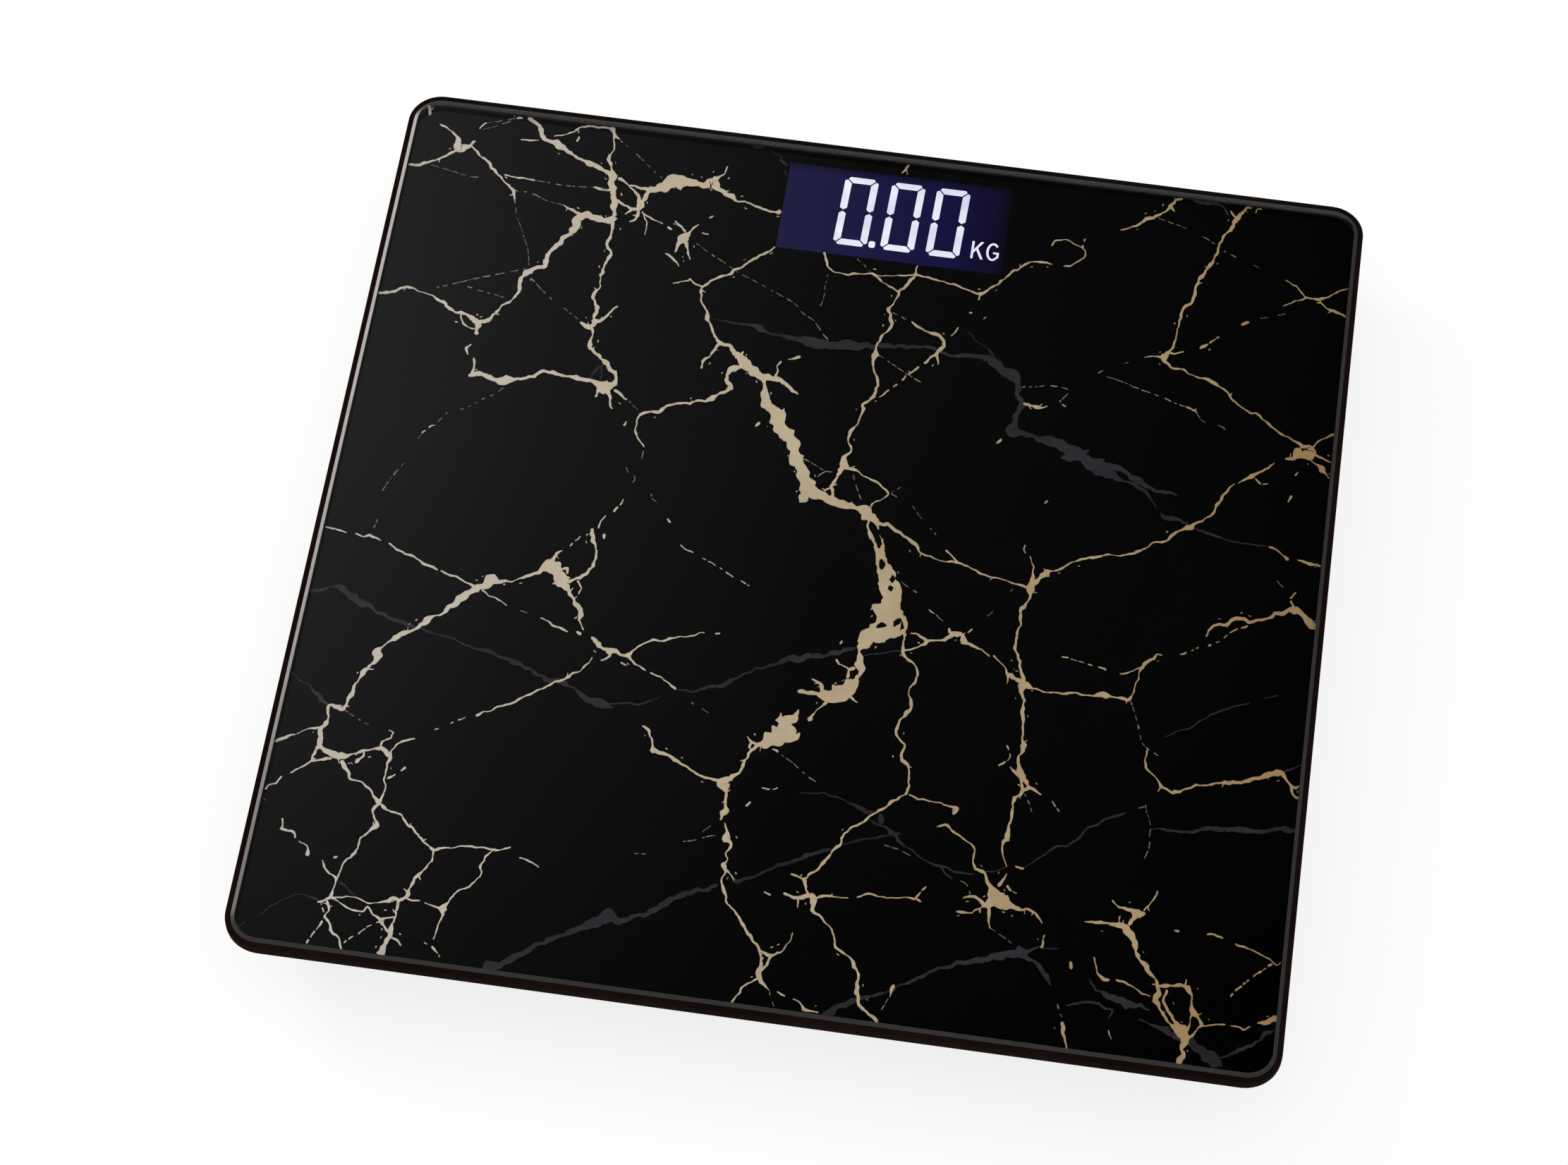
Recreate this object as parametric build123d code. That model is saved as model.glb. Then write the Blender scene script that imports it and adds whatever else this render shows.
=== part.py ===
"""Digital bathroom scale: a glass platform on a moulded tray, carried by four sprung weighing feet.

Millimetres, +Z up, +Y towards the display, +X to the right. The origin is on the floor, below the
middle of the platform. The stack of levels runs up from the floor to the top of the glass.
"""

import os
from math import cos, radians, tan

from build123d import *

# Platform outline and the rim that frames the glass
platform_side = 280.0
platform_corner = 9.5
rim_width = 1.4
rim_drop = 0.4
rim_height = 3.9
rim_edge_radius = 0.4
glass_thickness = 4.0
glass_gap = 0.1
glass_bevel_width = 0.85
glass_bevel_depth = 0.4
glass_arris = 0.3
print_thickness = 0.2
print_margin = 0.9
tape_thickness = 0.5
tape_inset = 0.3

# Tray
ground_clearance = 5.0
floor_wall = 2.0
side_wall = 2.0
side_slope = 35.0
knee_radius = 3.5
bottom_corner = 12.0
bottom_edge_radius = 2.5
ledge_width = 4.0
rib_thickness = 1.8
rib_foot_gap = 55.0
rib_bay_gap = 35.0
side_rib_x = 55.0

# Display window, placed from the rear edge of the platform
window_width = 65.4
window_depth = 30.4
window_x = 5.25
window_rear_inset = 7.8
window_corner = 0.6

# Display stack, from the print downwards
lcd_plate = 1.4
lcd_side_margin = 2.0
lcd_rear_margin = 1.5
lcd_contact_ledge = 4.0
lcd_gasket_width = 1.2
backlight_height = 3.0
backlight_margin = 0.5
frame_wall = 1.2
frame_gap = 0.2
frame_top_gap = 0.3
zebra_width = 2.2
zebra_inset = 0.5
led_length = 3.0
led_width = 1.3
led_height = 1.5

# Main board
board_side_tab = 5.9
board_rear_gap = 2.2
board_thickness = 1.2
board_boss_radius = 2.8
board_screw_inset = 3.1
chip_radius = 6.0
chip_height = 1.5
chip_x = -10.0

# Unit button and the switch behind it
button_x = 20.0
button_offset = 4.0
button_radius = 4.0
button_gap = 0.3
button_recess = 0.3
button_flange_radius = 5.4
button_flange = 0.8
button_seat_gap = 0.1
button_travel = 0.4
switch_side = 6.2
switch_height = 3.4
plunger_radius = 1.6
plunger_gap = 0.1
plunger_grip = 1.2

# Screws
screw_radius = 1.0
screw_head_radius = 1.9
screw_head_height = 1.4
screw_head_round = 0.45
screw_length = 5.0
pilot_gap = 0.05
screw_hole_gap = 0.25
head_gap = 0.2

# Weighing feet
foot_inset = 40.0
well_wall = 1.8
well_roof = 2.0
ring_gap = 0.3
ring_recess = 0.2
ring_height = 3.8
lip_height = 1.5
screw_side_wall = 2.4
post_radius = 1.7
post_height = 2.0
screw_column_width = 5.2
seat_height = 1.2
crown_radius = 20.0
crown_wall = 2.0
foot_radius = 15.0
foot_edge_radius = 0.8
foot_side_gap = 0.6
foot_catch = 2.3
foot_flange_gap = 0.5
foot_flange = 1.0
foot_hang = 0.5
foot_hub_radius = 5.0
foot_web = 2.2
foot_rib = 1.6
pip_radius = 3.5
pad_wall = 1.0
pad_thickness = 2.3
pad_proud = 1.5
pad_gap = 0.1
pad_groove_radius = 8.0
pad_groove_width = 1.5
pad_groove_depth = 0.5

# Load cells
cell_column_gap = 1.2
cell_corner = 4.0
cell_plate = 2.0
cell_post_inset = 2.7
tongue_width = 12.0
tongue_length = 20.0
tongue_root = 10.0
tongue_slot = 2.0
load_button_radius = 4.0
load_button = 1.0
gauge_length = 6.0
gauge_width = 8.0
gauge_height = 0.9
gauge_edge_inset = 2.0

# Sensor and battery wires
wire_diameter = 1.0
wire_pitch = 1.4
wire_floor_gap = 0.1
wire_notch_width = 5.2
wire_notch_depth = 1.6
wire_bend = 4.0
wire_corner = 8.0
wire_exit = 5.0
wire_drop_run = 8.0
wire_rise_run = 6.0
wire_end_run = 5.5
wire_cross_run = 28.4
wire_board_inset = 4.0
rear_wire_inset = 8.0
battery_wire_gap = 8.15
battery_wire_pitch = 2.0
battery_wire_bend = 3.0

# Battery bay, for two AAA cells lying along X
battery_length = 44.5
battery_diameter = 10.5
battery_nub_length = 0.8
battery_nub_radius = 1.9
battery_edge_radius = 0.5
battery_side_gap = 0.3
battery_lift = 0.1
battery_headroom = 0.4
bay_x = 0.0
bay_board_gap = 51.4
bay_wall = 1.5
bay_roof = 1.3
bay_pad = 1.9
bay_pad_border = 2.0
contact_plate = 0.4
contact_width = 8.0
contact_height = 8.0
leaf_reach = 3.4
leaf_width = 5.0
leaf_rise = 3.0
leaf_bend = 0.6
tail_width = 2.6
tail_length = 4.2
tail_gap = 0.3
tail_lift = 1.0

# Battery door
door_thickness = 1.6
door_gap = 0.3
door_face_recess = 0.05
door_back_gap = 0.05
door_border = 4.4
door_corner = 2.0
hook_length = 1.4
hook_width = 6.0
hook_height = 0.8
hook_spacing = 34.0
hook_swing_gap = 0.3
latch_width = 12.0
latch_length = 7.0
latch_slot = 1.0
finger_notch_radius = 8.0
finger_notch_depth = 1.0

# Levels, from the floor up
tray_bottom = ground_clearance
floor_top = tray_bottom + floor_wall
battery_bottom = floor_top + battery_lift
bay_ceiling = battery_bottom + battery_diameter + battery_headroom
deck = bay_ceiling + bay_roof
tape_top = deck + tape_thickness
glass_bottom = tape_top + print_thickness
glass_top = glass_bottom + glass_thickness
rim_top = glass_top - rim_drop
knee = rim_top - rim_height

# Tray half widths
half_side = platform_side / 2
slope_run = tan(radians(side_slope))
pocket_half = half_side - rim_width
ledge_half = pocket_half - ledge_width
side_wall_run = side_wall / cos(radians(side_slope))
bottom_half = half_side - (knee - tray_bottom) * slope_run
cavity_floor_half = half_side - (knee - floor_top) * slope_run - side_wall_run
cavity_top = floor_top + (ledge_half - cavity_floor_half) / slope_run
glass_half = pocket_half - glass_gap
glass_corner = platform_corner - rim_width - glass_gap
print_half = glass_half - print_margin
print_corner = glass_corner - print_margin

# Foot radii, from the foot out to its well
pad_radius = foot_radius - pad_wall
lip_bore = foot_radius + foot_side_gap
foot_flange_radius = lip_bore + foot_catch
ring_bore = foot_flange_radius + foot_flange_gap
ring_screw_reach = ring_bore + screw_side_wall
ring_radius = ring_screw_reach + screw_side_wall
well_radius = ring_radius + ring_gap
well_outer = well_radius + well_wall
cell_side = 2 * (ring_screw_reach - screw_column_width / 2 - cell_column_gap)
foot_reach = half_side - foot_inset

# Foot and load cell levels
ring_bottom = tray_bottom + ring_recess
ring_top = ring_bottom + ring_height
flange_low = ring_bottom + lip_height + foot_hang
flange_top = flange_low + foot_flange
cell_low = ring_top + post_height
cell_top = cell_low + cell_plate
pip_top = cell_low - load_button
roof_low = cell_top + seat_height
roof_top = roof_low + well_roof
cell_post_reach = cell_side / 2 - cell_post_inset
gauge_front = cell_side / 2 - gauge_edge_inset

# Display stack levels
gasket_low = deck
lcd_front_low = gasket_low - lcd_plate
lcd_low = lcd_front_low - lcd_plate
backlight_low = lcd_low - backlight_height
board_low = backlight_low - board_thickness
window_y = half_side - window_rear_inset - window_depth / 2
lcd_width = window_width + 2 * lcd_side_margin
lcd_rear_y = window_y + window_depth / 2 + lcd_rear_margin
lcd_front_y = window_y - window_depth / 2 - lcd_contact_ledge
lcd_back_front_y = lcd_front_y + lcd_contact_ledge
backlight_width = window_width + 2 * backlight_margin
backlight_depth = window_depth + 2 * backlight_margin
frame_width = lcd_width + 2 * (frame_gap + frame_wall)
board_length = frame_width + 2 * board_side_tab
board_rear_y = lcd_rear_y - board_rear_gap
board_front_y = lcd_front_y - frame_gap - frame_wall
board_depth = board_rear_y - board_front_y
board_y = board_rear_y - board_depth / 2
board_left_x = window_x - board_length / 2
board_right_x = window_x + board_length / 2
button_y = window_y - button_offset

# Button levels
button_low = tray_bottom + button_recess
button_flange_low = floor_top + button_seat_gap
button_top = button_flange_low + button_flange
switch_low = board_low - switch_height

# Battery bay plan
bay_y = board_front_y - bay_board_gap
middle_rib_y = bay_y - rib_bay_gap
front_rib_y = rib_foot_gap - foot_reach
bay_length = battery_length + leaf_reach + 2 * contact_plate
bay_depth = 2 * battery_diameter + 3 * battery_side_gap
battery_offset = (battery_diameter + battery_side_gap) / 2
battery_axis_z = battery_bottom + battery_diameter / 2
recess_top = tray_bottom + door_face_recess + door_thickness + door_back_gap
door_low = tray_bottom + door_face_recess
door_top = door_low + door_thickness
door_length = bay_length + 2 * door_border
door_depth = bay_depth + 2 * door_border
door_hinge_y = bay_y + door_depth / 2
bay_pad_top = recess_top + bay_pad
wire_low = floor_top + wire_floor_gap + wire_diameter / 2
wire_high = cell_top + wire_floor_gap + wire_diameter / 2
wire_board_z = board_low + board_thickness / 2
wire_cross_y = board_front_y - wire_cross_run
battery_wire_x = bay_x + bay_length / 2 + bay_wall + battery_wire_gap
tail_z = bay_pad_top + tail_lift

ON_BASE = (Align.CENTER, Align.CENTER, Align.MIN)
WIRE_OFFSETS = (-wire_pitch, 0, wire_pitch)
CORNERS = {
    "front_left": (-1, -1, 180),
    "front_right": (1, -1, 180),
    "rear_left": (-1, 1, 90),
    "rear_right": (1, 1, -90),
}
board_screw_x = board_length / 2 - board_screw_inset
board_screw_y = board_depth / 2 - board_screw_inset
BOARD_SCREWS = [(window_x + i * board_screw_x, board_y + j * board_screw_y) for i in (-1, 1) for j in (-1, 1)]


def square(half, corner, level):
    """Rounded square face at a level."""
    return Pos(0, 0, level) * RectangleRounded(2 * half, 2 * half, corner)


def slab(length, depth, low, high, x=0.0, y=0.0):
    """Upright block between two levels."""
    return Pos(x, y, low) * Box(length, depth, high - low, align=ON_BASE)


def drum(radius, low, high, x=0.0, y=0.0):
    """Upright cylinder between two levels."""
    return Pos(x, y, low) * Cylinder(radius, high - low, align=ON_BASE)


def plate(length, depth, corner, low, high, x=0.0, y=0.0):
    """Upright plate with rounded corners between two levels."""
    return extrude(Pos(x, y, low) * RectangleRounded(length, depth, corner), high - low)


def edges_at(shape, level):
    """Edges that lie wholly in one level."""
    return shape.edges().filter_by_position(Axis.Z, level, level)


def at_corner(corner):
    """Place of a foot well: its wires leave towards local -Y."""
    side, end, turn = CORNERS[corner]
    return Pos(side * foot_reach, end * foot_reach, 0) * Rot(0, 0, turn)


def wire(points, radii):
    """Round wire along straight runs joined by tangent arcs."""
    path = FilletPolyline(*points, radius=radii)
    section = Plane(origin=path @ 0, z_dir=path % 0) * Circle(wire_diameter / 2)
    return sweep(section, path=path)


def group(solids):
    """Loose solids kept in one node."""
    return Compound(children=[solid for shape in solids for solid in shape.solids()])


def make_glass():
    """Tempered glass with a ground bevel round the top and a small arris below."""
    slab_top = glass_top - glass_bevel_depth
    body = extrude(square(glass_half, glass_corner, glass_bottom), slab_top - glass_bottom)
    body = chamfer(edges_at(body, glass_bottom), glass_arris)
    low_face = square(glass_half, glass_corner, slab_top)
    top_face = square(glass_half - glass_bevel_width, glass_corner - glass_bevel_width, glass_top)
    return body + loft([low_face.face(), top_face.face()], ruled=True)


def make_print():
    """Printed film under the glass, open at the display window."""
    film = extrude(square(print_half, print_corner, tape_top), print_thickness)
    opening = plate(window_width, window_depth, window_corner, tape_top, glass_bottom, window_x, window_y)
    return film - opening


def make_tape():
    """Foam tape on the ledge, on the crowns of the four wells and on the cross ribs."""
    outer = square(pocket_half - tape_inset, glass_corner, deck)
    inner = square(ledge_half + tape_inset, platform_corner - rim_width - ledge_width, deck)
    pieces = [extrude(outer - inner, tape_thickness)]
    ring = drum(crown_radius, deck, tape_top) - drum(crown_radius - crown_wall, deck, tape_top)
    pieces += [at_corner(corner) * ring for corner in CORNERS]
    strip_length = 2 * (ledge_half - tape_inset)
    strip_width = rib_thickness - tape_inset
    pieces += [slab(strip_length, strip_width, deck, tape_top, 0, y) for y in (front_rib_y, middle_rib_y)]
    return group(pieces)


def tray_shell():
    """Outer form: an upright rim above a wall that slopes in to the bottom."""
    rim = extrude(square(half_side, platform_corner, knee), rim_top - knee)
    bottom_face = square(bottom_half, bottom_corner, tray_bottom)
    knee_face = square(half_side, platform_corner, knee)
    shell = rim + loft([bottom_face.face(), knee_face.face()], ruled=True)
    shell = fillet(edges_at(shell, knee), knee_radius)
    shell = fillet(edges_at(shell, tray_bottom), bottom_edge_radius)
    return fillet(edges_at(shell, rim_top), rim_edge_radius)


def tray_cavity():
    """Inside of the tray, with the ledge and the pocket that take the glass."""
    floor_face = square(cavity_floor_half, bottom_corner - side_wall_run, floor_top)
    upper_corner = platform_corner - rim_width - ledge_width
    upper_face = square(ledge_half, upper_corner, cavity_top)
    cavity = loft([floor_face.face(), upper_face.face()], ruled=True)
    cavity += extrude(square(ledge_half, upper_corner, cavity_top), deck - cavity_top)
    pocket = extrude(square(pocket_half, platform_corner - rim_width, deck), rim_top - deck)
    return cavity + pocket


def tray_ribs(shell):
    """Cross ribs under the glass, with mouse holes for the sensor wires."""
    ribs = slab(platform_side, rib_thickness, floor_top, deck, 0, front_rib_y)
    ribs += slab(platform_side, rib_thickness, floor_top, deck, 0, middle_rib_y)
    long_rib = half_side + middle_rib_y
    for side in (-1, 1):
        ribs += slab(rib_thickness, long_rib, floor_top, deck, side * side_rib_x, middle_rib_y - long_rib / 2)
        for y in (front_rib_y, middle_rib_y):
            hole_top = wire_low + wire_diameter + wire_floor_gap
            ribs -= slab(wire_notch_width, 2 * rib_thickness, floor_top, hole_top, side * foot_reach, y)
    return ribs & shell


def well_tower():
    """Closed tower over a foot, with crown ribs that carry the glass."""
    tower = drum(well_outer, tray_bottom, roof_top)
    crown = drum(crown_radius, roof_top, deck) - drum(crown_radius - crown_wall, roof_top, deck)
    crown += slab(2 * crown_radius - crown_wall, rib_thickness, roof_top, deck)
    crown += slab(rib_thickness, 2 * crown_radius - crown_wall, roof_top, deck)
    return tower + crown


def well_hollow():
    """Space inside a tower, around its screw columns and the seats of the load cell."""
    hollow = drum(well_radius, tray_bottom, roof_low)
    column_length = well_outer - ring_screw_reach + screw_column_width / 2
    column_x = well_outer - column_length / 2
    for side in (-1, 1):
        hollow -= slab(column_length, screw_column_width, ring_top, roof_low, side * column_x, 0)
        for end in (-1, 1):
            hollow -= drum(post_radius, cell_top, roof_low, side * cell_post_reach, end * cell_post_reach)
    for side in (-1, 1):
        hollow += drum(screw_radius + pilot_gap, ring_top, roof_low, side * ring_screw_reach, 0)
    notch_low = roof_low - wire_notch_depth
    notch_y = -(well_radius + well_outer) / 2
    return hollow + slab(wire_notch_width, 2 * well_wall, notch_low, roof_low, 0, notch_y)


def bay_block():
    """Walls, roof and thick floor pad round the batteries."""
    block = slab(bay_length + 2 * bay_wall, bay_depth + 2 * bay_wall, tray_bottom, deck, bay_x, bay_y)
    pad_length = door_length + 2 * (door_gap + bay_pad_border)
    pad_depth = door_depth + 2 * (door_gap + bay_pad_border)
    return block + slab(pad_length, pad_depth, tray_bottom, bay_pad_top, bay_x, bay_y)


def bay_hollow():
    """Battery space, door recess, hook slots, finger notch and slots for the contact tails."""
    hollow = slab(bay_length, bay_depth, tray_bottom, bay_ceiling, bay_x, bay_y)
    recess_length = door_length + 2 * door_gap
    recess_depth = door_depth + 2 * door_gap
    recess_corner = door_corner + door_gap
    hollow += plate(recess_length, recess_depth, recess_corner, tray_bottom, recess_top, bay_x, bay_y)
    slot_low = door_top - hook_height - hook_swing_gap
    slot_high = door_low + (hook_length**2 + door_thickness**2) ** 0.5 + hook_swing_gap
    slot_depth = hook_length + hook_swing_gap
    for side in (-1, 1):
        slot_x = bay_x + side * hook_spacing / 2
        slot_width = hook_width + 2 * door_gap
        hollow += slab(slot_width, 2 * slot_depth, slot_low, slot_high, slot_x, door_hinge_y)
    notch_y = bay_y - recess_depth / 2
    hollow += drum(finger_notch_radius, tray_bottom, tray_bottom + finger_notch_depth, bay_x, notch_y)
    for end in (-1, 1):
        tail_slot = Pos(bay_x + bay_length / 2 + bay_wall / 2, bay_y + end * battery_offset, tail_z)
        hollow += tail_slot * Box(2 * bay_wall, tail_width + 2 * tail_gap, contact_plate + 2 * tail_gap)
    return hollow


def make_tray():
    """Moulded tray with its wells, battery bay, ribs and board bosses."""
    shell = tray_shell()
    tray = shell - tray_cavity()
    tray += tray_ribs(shell)
    tray += bay_block()
    for corner in CORNERS:
        tray += at_corner(corner) * well_tower()
    for corner in CORNERS:
        tray -= at_corner(corner) * well_hollow()
    tray -= bay_hollow()
    for x, y in BOARD_SCREWS:
        tray += drum(board_boss_radius, floor_top, board_low, x, y) & shell
    for x, y in BOARD_SCREWS:
        tray -= drum(screw_radius + pilot_gap, floor_top, board_low, x, y)
    return tray - drum(button_radius + button_gap, tray_bottom, floor_top, button_x, button_y)


def make_door():
    """Battery door: hooks at the rear edge, sprung tongue with two slots at the front."""
    door = plate(door_length, door_depth, door_corner, door_low, door_top, bay_x, bay_y)
    for side in (-1, 1):
        hook_x = bay_x + side * hook_spacing / 2
        hook_reach = hook_length + door_corner
        hook_y = door_hinge_y + hook_length - hook_reach / 2
        door += slab(hook_width, hook_reach, door_top - hook_height, door_top, hook_x, hook_y)
        slot_x = bay_x + side * (latch_width + latch_slot) / 2
        slot_y = bay_y - door_depth / 2 + latch_length / 2
        door -= slab(latch_slot, latch_length, door_low, door_top, slot_x, slot_y)
    return door


def make_battery(direction, offset):
    """AAA cell lying along X, its positive nub towards the given direction."""
    can_length = battery_length - battery_nub_length
    can = Cylinder(battery_diameter / 2, can_length, align=ON_BASE)
    can = fillet(can.edges().filter_by(GeomType.CIRCLE), battery_edge_radius)
    cell = can + drum(battery_nub_radius, can_length, battery_length)
    tip_x = bay_x + direction * (bay_length / 2 - contact_plate)
    start_x = tip_x - direction * battery_length
    return Pos(start_x, bay_y + offset, battery_axis_z) * Rot(0, direction * 90, 0) * cell


def contact_leaf():
    """Bowed leaf of a negative contact, along +X from its plate."""
    foot_point = (contact_plate / 2, leaf_rise)
    tip = leaf_reach + contact_plate / 2
    crest_rise = leaf_rise / 3
    points = [foot_point, (tip, crest_rise), (tip, -crest_rise), (contact_plate, -leaf_rise)]
    ribbon = trace(FilletPolyline(*points, radius=leaf_bend), line_width=contact_plate)
    leaf = extrude(Plane.XZ * ribbon, leaf_width / 2, both=True)
    return leaf & Box(2 * (leaf_reach + contact_plate), leaf_width, 3 * leaf_rise)


def contact_plate_at(width):
    """Upright contact plate standing on the end wall, which is at X = 0."""
    return Pos(contact_plate / 2, 0, 0) * Box(contact_plate, width, contact_height)


def contact_tail():
    """Solder tail that goes out through the end wall."""
    level = tail_z - battery_axis_z
    return Pos(contact_plate - tail_length / 2, 0, level) * Box(tail_length, tail_width, contact_plate)


def at_bay_end(direction, offset):
    """Frame on an end wall of the bay: local +X points into the bay."""
    place = Pos(bay_x + direction * bay_length / 2, bay_y + offset, battery_axis_z)
    return place * Rot(0, 0, 90 + direction * 90)


def make_board():
    """Main circuit board with its screw holes."""
    board = slab(board_length, board_depth, board_low, backlight_low, window_x, board_y)
    for x, y in BOARD_SCREWS:
        board -= drum(screw_radius + screw_hole_gap, board_low, backlight_low, x, y)
    return board


def make_chip():
    """Drop of black epoxy over the controller, under the board."""
    dome_radius = (chip_radius**2 + chip_height**2) / (2 * chip_height)
    ball = Pos(chip_x, button_y, board_low - chip_height + dome_radius) * Sphere(dome_radius)
    return ball & drum(chip_radius, board_low - chip_height, board_low, chip_x, button_y)


def make_lcd():
    """Liquid crystal cell: the front plate overhangs the rear one at the contact ledge."""
    rear_depth = lcd_rear_y - lcd_back_front_y
    rear = slab(lcd_width, rear_depth, lcd_low, lcd_front_low, window_x, lcd_back_front_y + rear_depth / 2)
    front_depth = lcd_rear_y - lcd_front_y
    front_y = lcd_front_y + front_depth / 2
    return rear + slab(lcd_width, front_depth, lcd_front_low, gasket_low, window_x, front_y)


def make_gasket():
    """Foam frame between the display and the print."""
    depth = lcd_rear_y - lcd_back_front_y
    middle = lcd_back_front_y + depth / 2
    gasket = slab(lcd_width, depth, gasket_low, tape_top, window_x, middle)
    open_width = lcd_width - 2 * lcd_gasket_width
    return gasket - slab(open_width, depth - 2 * lcd_gasket_width, gasket_low, tape_top, window_x, middle)


def make_display_frame():
    """Three-sided frame on the board that locates the backlight, the contact strip and the display."""
    depth = lcd_rear_y - board_front_y
    frame_high = gasket_low - frame_top_gap
    outer_y = lcd_rear_y - depth / 2
    inner_width = frame_width - 2 * frame_wall
    frame = slab(frame_width, depth, backlight_low, frame_high, window_x, outer_y)
    frame -= slab(inner_width, depth, backlight_low, frame_high, window_x, outer_y + frame_wall)
    return frame & slab(platform_side, platform_side, backlight_low, frame_high, 0, board_rear_y - half_side)


def make_zebra():
    """Conductive rubber strip that joins the display's ledge to the board."""
    strip_y = lcd_front_y + zebra_inset + zebra_width / 2
    return slab(window_width, zebra_width, backlight_low, lcd_front_low, window_x, strip_y)


def make_led():
    """Lamp at the left edge of the backlight."""
    led_x = window_x - backlight_width / 2 - led_width / 2
    return slab(led_width, led_length, backlight_low, backlight_low + led_height, led_x, window_y)


def make_switch():
    """Tactile switch under the board, with the bore of its plunger."""
    body = slab(switch_side, switch_side, switch_low, board_low, button_x, button_y)
    bore_top = switch_low + plunger_grip + 2 * button_travel
    return body - drum(plunger_radius + plunger_gap, switch_low, bore_top, button_x, button_y)


def make_button():
    """Round unit button, caught by its flange above the tray floor."""
    cap = drum(button_radius, button_low, button_flange_low, button_x, button_y)
    cap = fillet(edges_at(cap, button_low), button_recess)
    return cap + drum(button_flange_radius, button_flange_low, button_top, button_x, button_y)


def screw():
    """Self-tapping screw pointing up, with the underside of its head at Z = 0."""
    head = drum(screw_head_radius, -screw_head_height, 0)
    head = fillet(edges_at(head, -screw_head_height), screw_head_round)
    return head + drum(screw_radius, 0, screw_length)


def make_load_cell():
    """Steel plate with a sprung tongue, whose load button takes the foot."""
    cell = plate(cell_side, cell_side, cell_corner, cell_low, cell_top)
    slot_y = tongue_length / 2 - tongue_root
    slot_depth = tongue_length + tongue_slot
    slot = slab(tongue_width + 2 * tongue_slot, slot_depth, cell_low, cell_top, 0, slot_y + tongue_slot / 2)
    slot -= slab(tongue_width, tongue_length, cell_low, cell_top, 0, slot_y)
    return cell - slot + drum(load_button_radius, cell_low - load_button, cell_low)


def make_gauge():
    """Sealed strain gauge at the root of the tongue."""
    middle = -gauge_front + gauge_length / 2
    return slab(gauge_width, gauge_length, cell_top, cell_top + gauge_height, 0, middle)


def make_ring():
    """Retaining ring: its lip traps the foot, its posts hold the load cell up to its seats."""
    ring = drum(ring_radius, ring_bottom, ring_top) - drum(lip_bore, ring_bottom, ring_top)
    ring -= drum(ring_bore, ring_bottom + lip_height, ring_top)
    head_top = ring_bottom + screw_head_height + head_gap
    for side in (-1, 1):
        ring -= drum(screw_radius + screw_hole_gap, ring_bottom, ring_top, side * ring_screw_reach, 0)
        ring -= drum(screw_head_radius + head_gap, ring_bottom, head_top, side * ring_screw_reach, 0)
        for end in (-1, 1):
            ring += drum(post_radius, ring_top, cell_low, side * cell_post_reach, end * cell_post_reach)
    return ring


def make_foot():
    """Foot with a flange inside the ring, ribs round a hub and a pip under the load cell."""
    foot = drum(foot_radius, pad_proud, flange_low)
    foot = fillet(edges_at(foot, pad_proud), foot_edge_radius)
    foot += drum(foot_flange_radius, flange_low, flange_top)
    foot -= drum(pad_radius + pad_gap, pad_proud, pad_thickness)
    well_low = pad_thickness + foot_web
    hollow = drum(pad_radius - foot_rib, well_low, flange_top) - drum(foot_hub_radius, well_low, flange_top)
    hollow -= slab(2 * pad_radius, foot_rib, well_low, flange_top)
    hollow -= slab(foot_rib, 2 * pad_radius, well_low, flange_top)
    return foot - hollow + drum(pip_radius, flange_top, pip_top)


def make_pad():
    """Rubber pad with one groove."""
    pad = drum(pad_radius, 0, pad_thickness)
    groove = drum(pad_groove_radius + pad_groove_width, 0, pad_groove_depth)
    return pad - (groove - drum(pad_groove_radius, 0, pad_groove_depth))


def front_lead(side):
    """Three wires from a front load cell, along the tray floor to the board's front edge."""
    bends = [wire_bend, wire_bend, wire_corner, wire_corner, wire_bend, wire_bend]
    board_edge = board_left_x if side < 0 else board_right_x
    start_y = gauge_front - foot_reach
    drop_y = well_outer + wire_exit - foot_reach
    rise_y = board_front_y - wire_end_run - wire_rise_run
    wires = []
    for offset in WIRE_OFFSETS:
        run_x = side * foot_reach + offset
        end_x = board_edge - side * wire_board_inset + offset
        cross_y = wire_cross_y + side * offset
        points = [
            (run_x, start_y, wire_high),
            (run_x, drop_y, wire_high),
            (run_x, drop_y + wire_drop_run, wire_low),
            (run_x, cross_y, wire_low),
            (end_x, cross_y, wire_low),
            (end_x, rise_y, wire_low),
            (end_x, rise_y + wire_rise_run, wire_board_z),
            (end_x, board_front_y, wire_board_z),
        ]
        wires.append(wire(points, bends))
    return group(wires)


def rear_lead(side):
    """Three wires from a rear load cell, across to the side of the board."""
    board_edge = board_left_x if side < 0 else board_right_x
    start_x = side * (foot_reach - gauge_front)
    exit_x = side * (foot_reach - well_outer - wire_exit)
    wires = []
    for offset in WIRE_OFFSETS:
        run_y = foot_reach + offset
        end_y = board_front_y + rear_wire_inset + offset
        points = [
            (start_x, run_y, wire_high),
            (exit_x, run_y, wire_high),
            (board_edge + side * wire_end_run, end_y, wire_board_z),
            (board_edge, end_y, wire_board_z),
        ]
        wires.append(wire(points, wire_bend))
    return group(wires)


def make_battery_leads():
    """Two wires from the contact tails to the board's front edge."""
    start_x = bay_x + bay_length / 2 - contact_plate + tail_length
    rise_y = board_front_y - wire_end_run - wire_rise_run
    wires = []
    for end in (-1, 1):
        run_x = battery_wire_x - end * battery_wire_pitch / 2
        start_y = bay_y + end * battery_offset
        points = [
            (start_x, start_y, tail_z),
            (run_x, start_y, tail_z),
            (run_x, rise_y, tail_z),
            (run_x, rise_y + wire_rise_run, wire_board_z),
            (run_x, board_front_y, wire_board_z),
        ]
        wires.append(wire(points, battery_wire_bend))
    return group(wires)


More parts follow.
